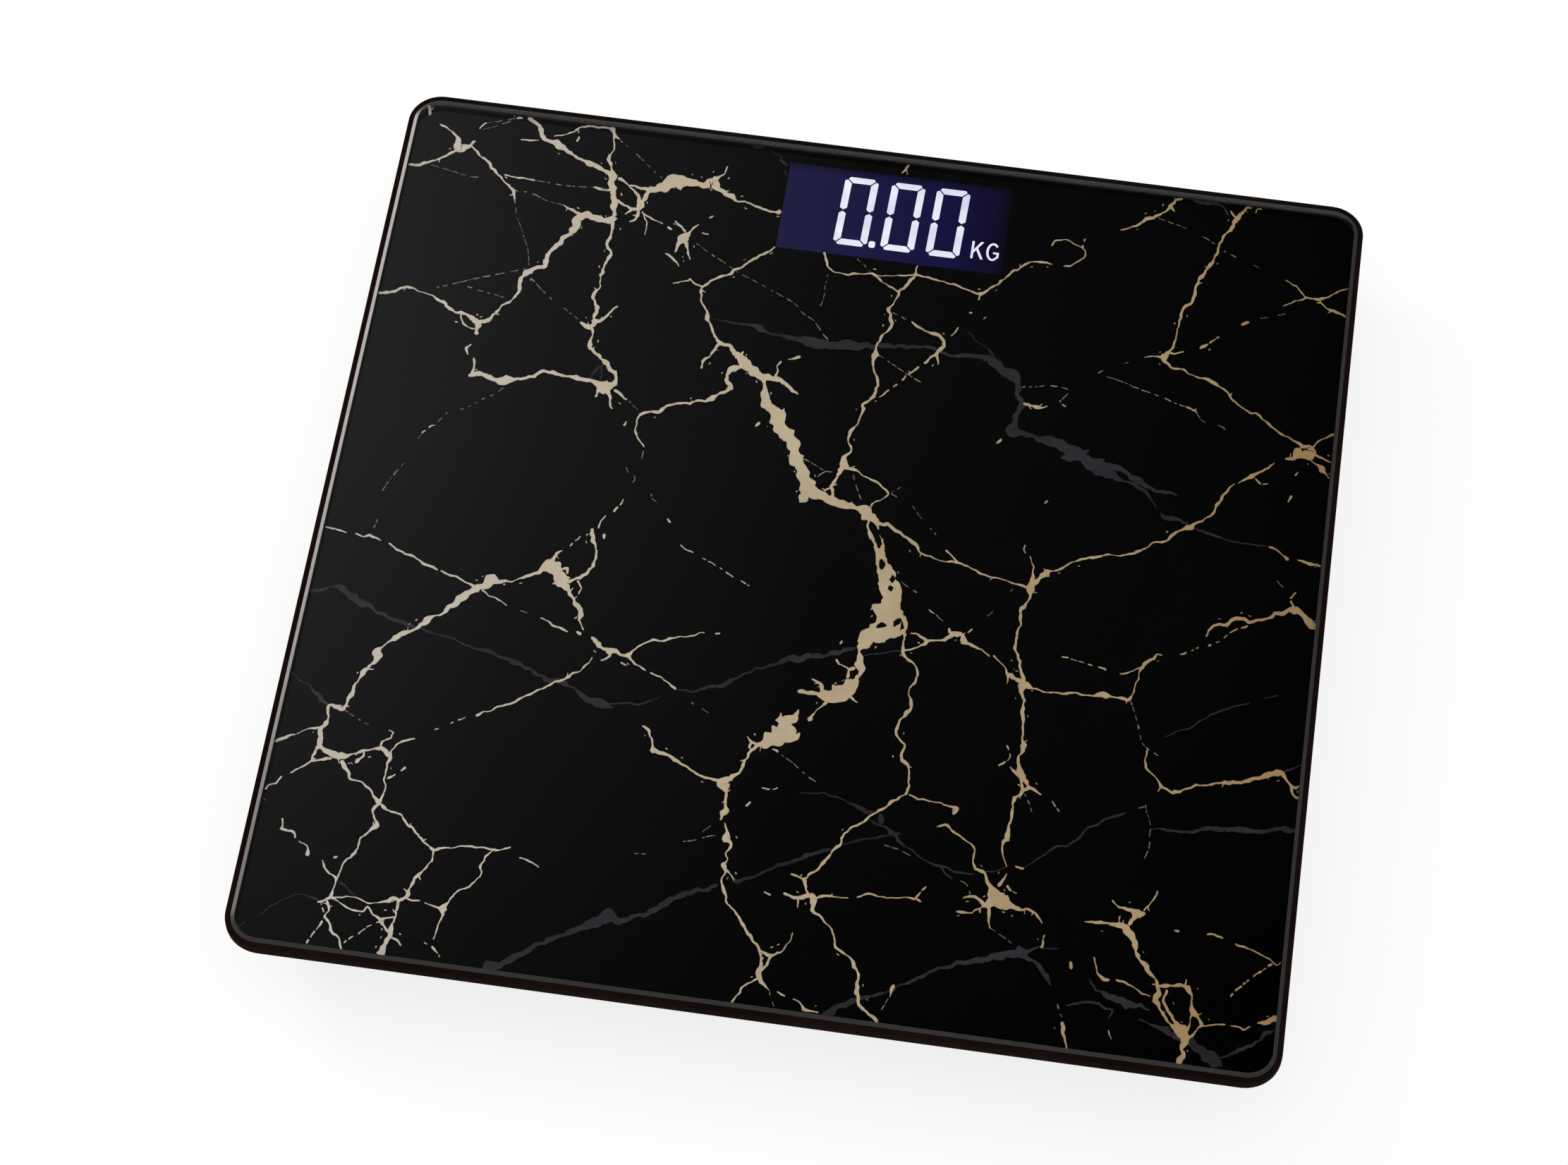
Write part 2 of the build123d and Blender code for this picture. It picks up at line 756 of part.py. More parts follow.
def make_parts():
    """Every node by name."""
    ring_head_top = ring_bottom + screw_head_height + head_gap
    bridge = at_bay_end(-1, 0) * contact_plate_at(2 * battery_offset + contact_width)
    positive = contact_plate_at(contact_width) + contact_tail()
    parts = {
        "glass_platform": make_glass(),
        "marble_print": make_print(),
        "bonding_tape": make_tape(),
        "base_tray": make_tray(),
        "battery_door": make_door(),
        "battery_cell_front": make_battery(-1, -battery_offset),
        "battery_cell_rear": make_battery(1, battery_offset),
        "contact_bridge": bridge + at_bay_end(-1, battery_offset) * contact_leaf(),
        "contact_positive": at_bay_end(1, battery_offset) * positive,
        "contact_negative": at_bay_end(1, -battery_offset) * (positive + contact_leaf()),
        "battery_leads": make_battery_leads(),
        "main_board": make_board(),
        "controller_chip": make_chip(),
        "backlight_panel": slab(backlight_width, backlight_depth, backlight_low, lcd_low, window_x, window_y),
        "backlight_led": make_led(),
        "lcd_cell": make_lcd(),
        "lcd_gasket": make_gasket(),
        "display_frame": make_display_frame(),
        "zebra_strip": make_zebra(),
        "unit_switch": make_switch(),
        "switch_plunger": drum(plunger_radius, button_top, switch_low + plunger_grip, button_x, button_y),
        "unit_button": make_button(),
        "board_screws": group([Pos(x, y, backlight_low) * Rot(180, 0, 0) * screw() for x, y in BOARD_SCREWS]),
        "strain_gauges": group([at_corner(corner) * make_gauge() for corner in CORNERS]),
        "ring_screws": group(
            [
                at_corner(corner) * Pos(side * ring_screw_reach, 0, ring_head_top) * screw()
                for corner in CORNERS
                for side in (-1, 1)
            ]
        ),
    }
    for corner, (side, end, turn) in CORNERS.items():
        parts[f"load_cell_{corner}"] = at_corner(corner) * make_load_cell()
        parts[f"foot_ring_{corner}"] = at_corner(corner) * make_ring()
        parts[f"foot_{corner}"] = at_corner(corner) * make_foot()
        parts[f"foot_pad_{corner}"] = at_corner(corner) * make_pad()
        parts[f"sensor_lead_{corner}"] = front_lead(side) if end < 0 else rear_lead(side)
    return parts


os.makedirs("parts", exist_ok=True)
for name, shape in make_parts().items():
    export_step(shape, f"parts/{name}.step")
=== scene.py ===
"""Looks for the digital bathroom scale: gold-veined black marble under clear glass, lit blue display."""

import math
import random

import bpy
from mathutils import Matrix, Vector, noise


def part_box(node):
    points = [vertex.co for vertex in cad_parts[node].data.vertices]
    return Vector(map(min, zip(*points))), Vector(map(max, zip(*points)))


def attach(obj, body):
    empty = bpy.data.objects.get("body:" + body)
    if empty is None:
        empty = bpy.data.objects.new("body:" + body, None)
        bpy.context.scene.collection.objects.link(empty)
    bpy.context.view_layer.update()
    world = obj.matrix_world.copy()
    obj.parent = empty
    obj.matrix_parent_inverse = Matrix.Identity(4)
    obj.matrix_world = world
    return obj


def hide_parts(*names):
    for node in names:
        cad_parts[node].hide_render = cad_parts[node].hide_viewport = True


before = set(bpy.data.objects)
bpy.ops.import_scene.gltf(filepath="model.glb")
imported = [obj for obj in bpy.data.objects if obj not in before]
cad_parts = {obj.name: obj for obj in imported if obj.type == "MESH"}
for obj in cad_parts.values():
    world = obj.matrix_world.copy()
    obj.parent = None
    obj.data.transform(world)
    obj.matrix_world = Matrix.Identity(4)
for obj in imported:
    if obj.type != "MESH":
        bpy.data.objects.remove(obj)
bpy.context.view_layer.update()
MM = 0.001
random.seed(7)

# Boxes of the solids that the drawn print and glass stand for, and the sizes that go with them, in mm
print_low, print_high = (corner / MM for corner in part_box("marble_print"))
glass_low, glass_high = (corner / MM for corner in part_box("glass_platform"))
PRINT_CORNER = 7.1
GLASS_CORNER = 8.0
BEVEL_WIDTH = 1.12
BEVEL_DROP = 0.5
ARC_STEPS = 16

# Levels of the printed layers, in mm; the drawn glass starts above them all, as the print isn't wetted to it
BAND_FOOT = print_high.z + 0.01
FILM_TOP = print_high.z + 0.02
HAIR_LEVEL = print_high.z + 0.05
SMOKE_LEVEL = print_high.z + 0.065
GOLD_LEVEL = print_high.z + 0.08
PIT_LEVEL = print_high.z + 0.19
SLAB_FOOT = glass_low.z + 0.23
LEVEL_STEP = 0.0001      # from one band of a layer to the next, so that no two lie in one plane

# Edges of the display window as the print shows it, in mm: left, right, front and rear
WINDOW = (-27.4, 38.1, 102.9, 133.2)

# Seen through the glass, the print lies a little deeper than the plane the veins' points were read on
VEIN_SHIFT = Vector((-0.18, 1.44))
EDGE_MARGIN = 0.4        # veins stop this far inside the edge of the print

# How the bands of print are drawn, in mm
BAND_STEP = 0.6          # between points along a band
SEED_STEP = 1.7          # from the noise of one band to the next
EASE_POINTS = 4          # at each end, over which a band comes back to its run
SLOW_NOISE, FAST_NOISE = 0.42, 0.95          # features per mm
FAST_SEED = 4.1
SLOW_WANDER, FAST_WANDER = 0.5, 0.22         # of a band's middle
SLOW_EDGE, FAST_EDGE, LEAST_EDGE = 0.8, 0.75, 0.1    # how ragged its edges are
CALMING = 0.9            # above about 1 mm, the broader a band, the calmer its edges
EDGE_SEED, EDGE_SPREAD = 11.3, 5.3           # so that the two edges differ
NARROWEST, BROADEST = 0.2, 2.8               # widths between which the next two values work
THIN_SHARE, BROAD_GAIN = 0.58, 0.17          # share of its width that a band keeps, and more for each mm
LEAST_SWELL, MOST_SWELL = 0.3, 1.9           # limits of what the noise does to the width
LEAST_HALF = 0.06
TIP_SHARE = 0.45         # length of a band's pointed end, as a share of its width there

# Broken hairlines: lengths and gaps in points, the rest in mm
FINEST = 0.62            # runs narrower than this are drawn as dashes
DASH_STEP = 0.3
DASH_POINTS = (2, 8)
DASH_GAP = (2, 6)
DASH_WIDTH = (0.2, 0.45)
GOLD_DASH_SHARE = 1.6

# Spurs and loose specks beside the broader veins, in mm
PARENT_WIDTH = 0.8
PARENT_RUN = 1
SPUR_CHANCE = 0.14
SPECK_CHANCE = 0.34
OFFSHOOT_REACH = (0.5, 1.0)
SPUR_LEAN = 0.9
SPUR_SHARE = 0.4
SPUR_WIDTHS = (0.6, 0.45, 0.2)
SPECK_AWAY = (0, 0.9)
SPECK_LENGTH = (0.3, 0.7)
SPECK_WIDTHS = (0.35, 0.3)

# Gold and cream veins of the marble, as runs of (x, y, width) in mm on the platform, by region
GOLD_VEINS = [
    # broad body of the main vein
    [(16.2, 5, 2.2), (18, 0, 3.4), (20, -5, 3.8), (21.2, -10, 3.9), (22.6, -14, 4.2), (22.6, -18, 4.6),
     (18.6, -21.6, 4.4), (15, -24, 3.2)],
    # upper left
    [(-105.3, 137.5, 2.2), (-103.4, 134.7, 1.6), (-101.9, 133.4, 1.2), (-100.3, 130.3, 1.5),
     (-97.5, 128.4, 1.8), (-95.3, 127.8, 2.8), (-91.9, 125.6, 1.2), (-86.9, 123, 1.2), (-84.7, 122.6, 1.8),
     (-80.6, 120.5, 1), (-77.5, 119, 2)],
    [(-107.5, 137.5, .8), (-108.7, 135.3, .8)],
    [(-80.3, 137.8, 1.5), (-79.7, 133.7, 1.2), (-78.9, 128.7, .7), (-79.7, 125, 1.2), (-78.4, 121.9, .8),
     (-77.5, 119, 2)],
    [(-79.7, 133.7, .8), (-78, 132.4, .6)],
    [(-80.3, 137.2, .7), (-84.4, 137.2, .7), (-86.9, 135.9, .8), (-90.6, 134.4, .8), (-91.9, 132.5, .6),
     (-96.9, 130.6, .6)],
    [(-90.6, 134, .6), (-89.8, 131.3, .5), (-90.6, 128.1, .5)],
    [(-106.3, 127.8, .6), (-101.3, 128.4, .7)],
    [(-77.5, 119.1, 2.2), (-77.2, 115, 2.4), (-75.6, 110, 1.8), (-75.3, 105, 1.2), (-75, 103.8, 1.6)],
    [(-75, 103.7, 2), (-78.8, 103.1, 2.2), (-81.9, 104.1, 2.4), (-84.7, 103.6, 2.4), (-85.6, 101.3, 2.6),
     (-85.8, 98.8, 2.2), (-88.1, 95, 1.5), (-90.9, 90.6, 1.3), (-91.6, 88.1, 1.2), (-91.9, 85, 1.6),
     (-93.8, 83.8, 1.2), (-96.3, 82.2, 2.2), (-97.8, 79.7, 1.4), (-97.8, 75, 1), (-99.4, 71.3, .8),
     (-101.9, 68.8, .8), (-104.1, 64.4, 1.2), (-107.3, 62.5, 2), (-107.2, 59, 1.2)],
    [(-84.7, 104.1, 1.2), (-87.5, 105.4, .8), (-90, 106.6, .5)],
    [(-108.1, 55, .5), (-109, 53.3, .9), (-108.3, 51.6, .5)],
    [(-106.4, 50.5, .6), (-105.7, 47.5, .8), (-106.2, 45.3, 1)],
    [(-106.5, 44.5, 1.6), (-102.8, 45.6, 1.8), (-99.4, 44.6, 1.6), (-96.6, 44.5, 2.7), (-93.8, 45.3, 1.2),
     (-90, 46.6, 1.1), (-85.6, 49.1, 1.5), (-80.6, 48.8, 1.2), (-77.5, 48.7, 1.4), (-74.4, 47.9, 1.6),
     (-70.6, 47.5, 1.8), (-68, 46.6, 3.6), (-65.8, 47.5, 1.8), (-65.2, 50, 1.3), (-66.9, 52.2, 1.2),
     (-69.7, 55, 1.6), (-72.5, 57.8, .9), (-74.7, 59.4, 1.5), (-74.7, 63.1, .8), (-75, 65.6, 1.6),
     (-77.5, 66.6, 1.4), (-78.6, 67.2, .6)],
    [(-75, 66.5, 1.4), (-74.4, 68.1, 1.5), (-72.2, 69.1, 1), (-70.6, 72.5, .7), (-68.9, 74.2, .6)],
    [(-69, 46, 1.6), (-70, 43, .8)],
    [(-67, 45.6, 1.4), (-66, 43, .8), (-65.5, 40.5, .7), (-64.8, 39.8, .5)],
    [(-65, 45.9, .9), (-62.8, 44.2, 1.2), (-61.3, 43.3, .6)],
    [(-75, 103, 1.4), (-74.7, 98.8, 1), (-75.2, 95, .9), (-73.9, 91.9, 1.1), (-74.7, 88.8, .9),
     (-74.7, 85.6, .9), (-75.3, 83.1, .7), (-75.2, 80, .8), (-76.3, 77.5, 1.1), (-75.6, 74.4, 1),
     (-74.7, 71.9, 1.6), (-74.9, 68.1, 1.3)],
    [(-72.2, 116.5, .7), (-68.1, 115.9, 1.1), (-65.6, 116, 2.2), (-63.1, 117.5, 3), (-60, 119.3, 4.2),
     (-56.9, 120.2, 3.8), (-53.8, 120, 2.2), (-50.6, 120.1, 2.4), (-48.5, 120.8, 3.4), (-46.5, 118.8, 1.7),
     (-44, 117.6, 1.5), (-42.3, 116.8, 1.9), (-40.5, 115.7, .9), (-38.5, 116, .9), (-36, 114.9, .7),
     (-32.5, 113.9, .7), (-29, 113.6, .9), (-28, 113.7, 1.5)],
    [(-48, 122.3, 1.5), (-46.6, 123.7, .8), (-45.5, 125.2, .5), (-45.3, 127.4, .6)],
    [(-75.6, 118.4, 1.3), (-71.9, 115.6, .7), (-68.8, 112.5, 1.4), (-68.1, 109.4, 2)],
    [(-66.4, 115.6, 1.4), (-67.2, 112.5, 1.4), (-68, 109.6, 1.8)],
    [(-75.8, 110.9, 1.2), (-72.5, 109.4, .9), (-70, 108.6, 1.1), (-68, 108.8, 1.8)],
    [(-70, 108, 1), (-71.9, 106.3, .5)],
    [(-68.3, 107.8, .9), (-68.6, 105, .8), (-70.3, 103.9, .6)],
    [(-67, 107.8, .7), (-65.7, 104.4, .5), (-65.2, 100, .4)],
    [(-66.6, 107.2, .7), (-63.8, 105.8, .5), (-60.8, 104.5, .4)],
    [(-58.9, 103.6, .9), (-57.9, 103.1, .9)],
    [(-134.9, 136, 1), (-134.1, 132.8, 1)],
    [(-130.6, 129.7, .7), (-126.9, 127.5, .7), (-125, 125.9, 1.1), (-123.6, 122.4, 2.4),
     (-121.3, 123.1, 1.8), (-119.7, 125.3, 1)],
    [(-123.6, 122, 1.3), (-126.3, 119.1, .9), (-130.6, 116.3, .8), (-133.8, 114.7, 1.3),
     (-137.4, 114.1, .8)],
    [(-120.4, 123.5, .8), (-117.5, 120.9, .7), (-114.7, 118.4, 1.1), (-110.6, 114.4, 1),
     (-108.1, 111.9, .7), (-105.6, 109.7, 1), (-104.5, 106.5, .5)],
    [(-108.8, 114.7, .6), (-100, 114.1, .7)],
    [(-82.5, 114.4, .6), (-79.4, 113.8, .8), (-77.6, 114.2, 1)],
    [(-119, 130, .7), (-117.5, 132.2, .7)],
    [(-137.4, 68.4, 1), (-133.4, 69.4, 1.2), (-130.9, 71.3, .9), (-128.8, 71.9, .8), (-125, 70.6, .5),
     (-121.3, 69.7, .5), (-118.8, 68.1, 1.1), (-115, 65.6, 1), (-110.9, 65, 1.1), (-107.8, 62.8, 1.6)],
    [(-112.6, 64.6, .6), (-111.9, 62.4, .7), (-110, 60.6, .5), (-108, 60.4, .6)],
    [(-113.8, 61.9, .5), (-111.8, 62, .6)],
    # upper left of the middle, with the small star
    [(-55.6, 95.3, .7), (-54.9, 98.4, 1.5), (-54, 100.4, 3), (-52.4, 103.2, 1), (-50.4, 105.9, .5)],
    [(-54, 103, 1.2), (-57.2, 105.9, .6)],
    [(-53, 99, 1.6), (-52.3, 96.3, .9), (-50.9, 93.4, .4)],
    [(-58.1, 94.4, .6), (-55, 92.2, .9), (-53.8, 90.6, .5)],
    [(-50, 86.5, .7), (-48, 85.2, .7), (-46.2, 84.6, 1)],
    [(-54.4, 84.4, .5), (-51.3, 85.6, .5), (-50, 86.4, .7)],
    [(-48.8, 103.2, .5), (-47, 102.9, .7)],
    [(-47.5, 108.7, .8), (-46.7, 109.4, .8)],
    [(-27.5, 101.3, .8), (-30, 98.8, .7), (-33, 96.2, .9), (-35.5, 93.4, .8), (-37.5, 91.8, 1.2),
     (-40, 89.6, .9), (-42.5, 88, .8), (-44.5, 86.2, .8), (-46.2, 84.6, 1.1), (-45.8, 82, .8),
     (-45, 79.2, .7), (-43.7, 76.5, .7), (-43, 74.5, 1.3), (-42, 72, .7), (-40.5, 69.5, .8), (-39, 67.3, 1),
     (-38, 66, 1.7), (-35.5, 65.5, 1.2), (-33.8, 64.2, 1.5), (-32, 62.8, 2), (-30.5, 60.4, 3),
     (-28, 58.8, 3.4), (-26, 57.5, 2.4), (-23, 56.6, 2.2), (-20.5, 56.4, 1.8), (-18.5, 55.5, 1.3),
     (-16.5, 54.4, 1.2), (-15, 53.5, 1.4), (-13.8, 52.4, .6)],
    [(-31.6, 62.6, 1.2), (-31.2, 64.3, .4)],
    [(-38, 66, 1.4), (-39, 64.5, .9), (-39.5, 63, .8), (-40.5, 61, .8), (-41.8, 59, .9), (-42, 57, .6)],
    [(-21, 57, .8), (-20.4, 59, .6), (-20.8, 60.8, .6), (-20, 62.5, .7)],
    [(-18, 63.6, .4), (-16.6, 64.1, .7), (-15.2, 65.1, 1)],
    [(-30, 59.8, 2.6), (-32.5, 58.6, 2.4), (-34, 57, 1.6), (-34.5, 55, 1.1), (-33.8, 53, 1.6),
     (-32.8, 51.4, 2), (-34, 50.2, 1.2), (-36, 49, .9), (-37.5, 47.3, 1.6), (-39, 46.3, 1.2),
     (-41.5, 46, 1), (-43.5, 44.9, .9), (-46, 44.4, .8), (-48.5, 43.4, .8), (-50, 42.2, 1.1),
     (-51.5, 40.9, 1.2), (-54, 40.2, .6), (-56, 39.6, 1), (-57, 37.5, .7), (-57.3, 35, .6),
     (-56.8, 32.5, .6), (-55.5, 30.5, .6), (-53.8, 28.5, .4)],
    # the main vein, down through the middle
    [(-24.6, 56.8, 2.2), (-23.8, 54.5, 1.2), (-23.3, 52.5, 1.4), (-23, 50.5, 2.6), (-22, 48, 2.6),
     (-20.5, 45.5, 3.2), (-18.5, 43.5, 4.4), (-17, 41, 3.6), (-15, 38.5, 3.6), (-13, 36, 3.2),
     (-12, 33.5, 2.3), (-11.3, 31, 3.4), (-9.5, 29, 2.6), (-8.5, 26.5, 3.6), (-7.5, 24, 3.8),
     (-6.3, 21.8, 3.6), (-4.5, 20.5, 2.8), (-2, 19.6, 2.6), (1, 18.6, 2.6), (4, 17.9, 2.2), (7, 17.8, 1.9),
     (9.5, 17.2, 2.8), (11.5, 15.8, 3)],
    [(-16.8, 46.9, .4), (-17.2, 45, 1.4)],
    [(-6.4, 20.8, 2.2), (-7.9, 18.2, 2.4)],
    [(11.3, 15.6, 2), (11.8, 13, 1), (12.1, 11, 1), (13.2, 8.5, 1.2), (14.8, 6, 1.6), (15.8, 4, 1.8),
     (15.7, 2, 1.3), (16.2, -.3, .9), (17, -2.8, 1.3), (18, -5.5, 2), (19.2, -8.5, 2), (20.3, -11, 3.2)],
    [(13.6, 13.9, 1.6), (15.4, 11.5, 1), (16.2, 9, .7), (16.6, 7, 1), (16.8, 4.4, 1.6), (17.9, 2.2, 1.1),
     (18.7, .3, 1), (20.2, -1.2, 2.4), (20.6, -3.4, 2.6), (22.3, -6.2, 1.9), (22.8, -9, 2.4),
     (22, -12, 4.2), (20.8, -14.8, 5.4), (20, -16.6, 3.6), (18.9, -18.6, 1.6), (17.8, -21, 2.8),
     (16.6, -23.2, 4.2), (15.6, -25.4, 3.4), (14.8, -27.5, 1.1), (15.3, -29.5, 1.7), (15.5, -32, 2.5),
     (16, -34.6, 1.2), (15.6, -36.4, 1.6), (14.8, -38.2, 2.8), (13.4, -40, 3.6), (11.6, -42, 5),
     (9.3, -43.2, 3.4), (7, -42.6, 2.2), (4.5, -42.6, 1.4), (2, -42.7, 1.1), (.3, -42.7, 2)],
    [(20.6, -6.5, 1.2), (20.4, -9.6, 1.6)],
    [(22.6, -12.6, 2.4), (24.4, -14.6, 1.8), (25.8, -16.6, 1.6), (26.3, -19, 1.3), (25, -20.4, 2.2),
     (22.4, -20.8, 3), (20.6, -22.4, 4), (18.4, -23.2, 4.4)],
    [(21.4, -16.6, 2), (21.6, -18.6, 1.3), (21.2, -20.6, 2.2)],
    [(26.2, -19.5, 1.2), (26.4, -23, .7), (26.7, -26, 1), (27.5, -27.5, .9), (30, -29.5, .6),
     (31.3, -32, .7), (31.2, -35, .8), (30, -37.5, .7), (30.3, -40, .7), (31.3, -43, 1.2), (30, -45.3, 1.4),
     (29, -47.5, .7), (28.2, -50, .9), (28, -51.5, 1), (29.5, -53.3, .7), (30.7, -55.5, .7),
     (30.3, -57.5, .9), (30.6, -59, .9), (32, -60.5, 1.4), (33, -62.5, .7), (33.2, -65, .6),
     (33.5, -67.5, .7), (33.2, -69.5, 1), (31.5, -71.3, .8), (29, -73.3, 1), (27, -75.8, .8),
     (25.8, -77, .7), (24, -78.2, 1), (22, -80.5, 1), (20, -82.3, .9), (18.3, -84.8, .8), (18, -87.5, .7),
     (16.3, -89.3, .8), (15.3, -91.5, .8), (14, -94, .8), (12.2, -96.3, .8), (10.5, -98.5, .9),
     (9.8, -99.3, 1.2), (10.8, -101.5, .9), (11.3, -103.5, 1.3), (13, -104.6, 2), (13.2, -107, 1.1),
     (13.5, -108.5, 1.2), (16, -109.8, .6), (18, -111.8, .5), (19.5, -113.5, .6), (20.3, -116, .7),
     (21, -117.5, .8), (23.5, -119.3, .7), (25.8, -121.3, .9), (27, -123.3, 1.1), (27.8, -126, .9),
     (27.8, -128.8, 1.2), (28.8, -131, 1), (29.5, -133, .8), (31.5, -135, .7), (33.5, -136.3, 1),
     (34.5, -137.6, 1)],
    [(12.9, -36.6, .9), (12.8, -34.2, .9), (14.2, -33.4, 1.2)],
    [(13, -33.8, .9), (11.4, -33.2, .7), (10, -32.7, .8), (9, -31.4, .6)],
    [(13, -37.2, .9), (13.6, -38.8, 1.4)],
    [(6.6, -42, 1.2), (5.8, -39.8, .8), (4.6, -38.9, .9), (3.3, -38.4, .5)],
    [(14, -42, 1.2), (16.5, -43.8, .4)],
    [(8.2, -45, .9), (6, -48, .4), (4.4, -51, 1.3)],
    [(9.4, -26.2, .6), (9.7, -25.4, .8)],
    # from the middle up to the display, and the fork to the right
    [(14.2, 101.2, .5), (13.8, 98.5, .9), (12.5, 95.5, 1), (11, 92.5, .9), (9.8, 91, .9), (9.7, 88.5, .7),
     (8.5, 86.5, .8), (8, 84.6, 1), (8.8, 82.5, .9), (9.2, 80, .9), (8.8, 78, .9), (7.5, 75.8, 1.1),
     (6.5, 73.5, .9), (6, 71, .9), (6, 68.8, 1.8), (5.9, 66.5, 1), (6.5, 63.8, .8), (7.8, 61.3, .9),
     (8, 58.5, .9), (7.8, 55.5, 1.2), (6.5, 53, .9), (5.2, 51.5, 1.4), (5.2, 48.5, .8), (4.5, 45.5, .7),
     (3, 43, .9), (2.3, 40.5, .9), (3, 38.3, .8), (3.8, 36, .8), (2.8, 34, 1.2), (2.3, 31.8, 2.2),
     (2.2, 30, 1.6), (1.2, 27.5, .9), (.3, 25, .9), (.2, 22.8, 1), (1, 20.3, 1.2)],
    [(2.8, 30.6, 2.2), (4.4, 29.7, 1.1), (6.5, 29.3, .7), (8.5, 28.4, .4), (10.5, 27.6, .5), (13, 26.2, .6),
     (15.8, 23.6, .6), (14.2, 21.5, .4), (12.2, 20, .6), (11.8, 18.3, .7)],
    [(0, 23.2, .8), (-1.8, 21.6, .7)],
    [(7.1, 137.6, .7), (7, 136, .8), (6.5, 134.3, .6), (5.3, 132.8, .4)],
    [(6.5, 134.3, .5), (7, 132.6, .4)],
    [(13.8, 98, .9), (16.5, 97.6, .7), (20, 97, .7), (23, 96.6, .5), (26, 96, .7), (29, 95, .6),
     (32, 93.9, .8), (33.2, 94, 1.2), (35, 95.8, .9), (37.5, 98, .7), (39.5, 100.5, .7), (42, 103.5, .8),
     (44.8, 106.3, .9), (47, 107.2, .7), (50, 107.8, .9), (52.5, 107.4, .4)],
    [(33.2, 94, 1), (33, 92, .5)],
    [(-13.2, 101.3, 1), (-12.5, 100, .8), (-11.9, 98.3, .7), (-11.5, 96.8, .8), (-10, 95.5, .7),
     (-8, 95.3, .4), (-5, 95, .8), (-3.2, 95.6, .8), (-1, 96, .4), (1, 96.4, 1), (2, 96.2, 1.2),
     (4, 96, .4), (7, 96.4, .4), (10, 97, .5), (13.5, 97.8, .9)],
    [(2.5, 95.8, .7), (4.5, 94, .5), (6.5, 93, .5), (9.7, 91.3, .7)],
    [(15, 81.5, .8), (17, 80.2, 1), (18.5, 79.6, .6), (20.5, 78.4, .9), (22.5, 78.2, 1.2), (24.5, 77, 1.1),
     (25.2, 76, 1.2), (24.5, 74, 1.5), (23.5, 72.2, 1.1), (22, 70.3, .8), (20.5, 68.2, .8)],
    [(23.5, 71.8, .7), (24.3, 68.4, .4)],
    [(19, 66.5, 1), (18, 65, .8), (16.5, 63.8, .8)],
    [(15.7, 63, .6), (15, 61.5, .7)],
    [(13.5, 59.8, .8), (12.7, 58.8, .6)],
    [(11.5, 57.5, .8), (9.3, 54.8, .6)],
    [(26.8, 78.6, .5), (28, 80.3, .7), (28.4, 81.6, .5)],
    [(31, 87.2, .7), (31.6, 87.2, .7)],
    [(35.1, 85.7, .6), (35.7, 86.4, .6)],
    [(12, 15.4, 2.4), (14.5, 13.6, 1.5), (16.5, 13.6, 1.7), (18, 13.2, 1.3), (20, 12, .9), (22, 10.5, .8),
     (24, 9.3, .9), (25.5, 8.3, 1.5), (26.8, 6.3, .9), (28.5, 5.2, .8), (31.5, 4.4, .6), (35, 4, .6),
     (38, 3.8, 1.1), (41, 3.2, .6), (44.5, 1.6, .7), (47, 1, .8), (49.5, .9, .5), (52.5, .4, .4),
     (55, -.4, .7), (57.5, -.6, .9), (59.2, -.2, 1.8)],
    [(34.3, 7.5, .5), (36.5, 5.8, .6), (37.8, 4.2, .8)],
    # right
    [(87, 137.6, .9), (85.5, 135.5, .8), (84.3, 133.5, 1.4), (83.5, 131.5, 1), (82, 130, .8),
     (79.5, 128.3, 1.1), (77.5, 127, 1.3), (75.8, 125.3, .9), (73.5, 123.6, .6), (70.8, 122.3, .5)],
    [(84.3, 132.6, .8), (85.3, 131.2, .5)],
    [(107.3, 137.6, .8), (106, 135.5, .9), (104.8, 133.5, .9), (103.5, 131, 1.6), (102.3, 128.5, 1.3),
     (101, 126, .9), (100, 123.5, .9), (99.3, 120.5, .9), (98.5, 117, .8), (97.5, 114.5, 1),
     (96.3, 111, .9), (95, 109, 1.2), (94, 105.8, .9), (94.2, 103, 1.1), (93.2, 100.5, .9),
     (91.5, 97.5, .9), (90.8, 94.5, .8), (90.3, 90.5, .7), (90, 87, .7), (89.3, 83.5, .9),
     (88.5, 81.9, 1.3), (87.4, 80.2, 2.2), (88.6, 78.4, 1.1), (90.5, 77.2, .8), (93.5, 76.8, .6),
     (96.5, 75.3, .6), (99.5, 74.7, .7), (101.5, 74.5, 1.4), (103, 73.8, 1.1), (104.5, 72.3, .8),
     (106.5, 71, .8), (108, 68.8, .7), (110, 67.3, .6), (113.5, 65.3, .6), (115.5, 65.2, .8), (118, 63, .6),
     (121.5, 60.7, .7), (124, 59.2, .7), (127, 57.8, .7), (128.8, 56.9, 1.7), (130.6, 55.2, 4),
     (129, 53.8, 3.2), (127, 52.3, 2), (124.8, 51.6, .5)],
    [(101.5, 133.8, .6), (103, 131.8, .9)],
    [(110.3, 137.5, .9), (109, 136, .5), (108.8, 134.3, .4)],
    [(87, 80.3, 1.2), (84.6, 80.4, .5), (82, 79.5, .5)],
    [(88.6, 82.3, 1), (91, 82.2, .6), (92.8, 83, .6)],
    [(131.5, 56, .8), (133, 58, .5), (135, 60, .7), (137.5, 61.6, 1)],
    [(132, 54.6, 1.6), (134, 53.8, .8), (137.5, 52.2, .7)],
    [(131, 52.9, .8), (133, 51.2, .5), (135, 50, 1.6), (136.5, 48.5, .8), (137.5, 47, .5)],
    [(121.8, 49.6, .5), (119.5, 47.2, .9), (117.5, 45.6, .9), (116, 44.6, 1.3), (114.5, 43, .9),
     (112.5, 41.6, .5)],
    [(117, 43.8, .6), (118.3, 42.3, .5), (121, 42.7, .4)],
    [(111.3, 41.2, .6), (109.5, 38.5, .7), (108, 35.5, 1.2), (107, 32.5, .9), (105.8, 30, .6),
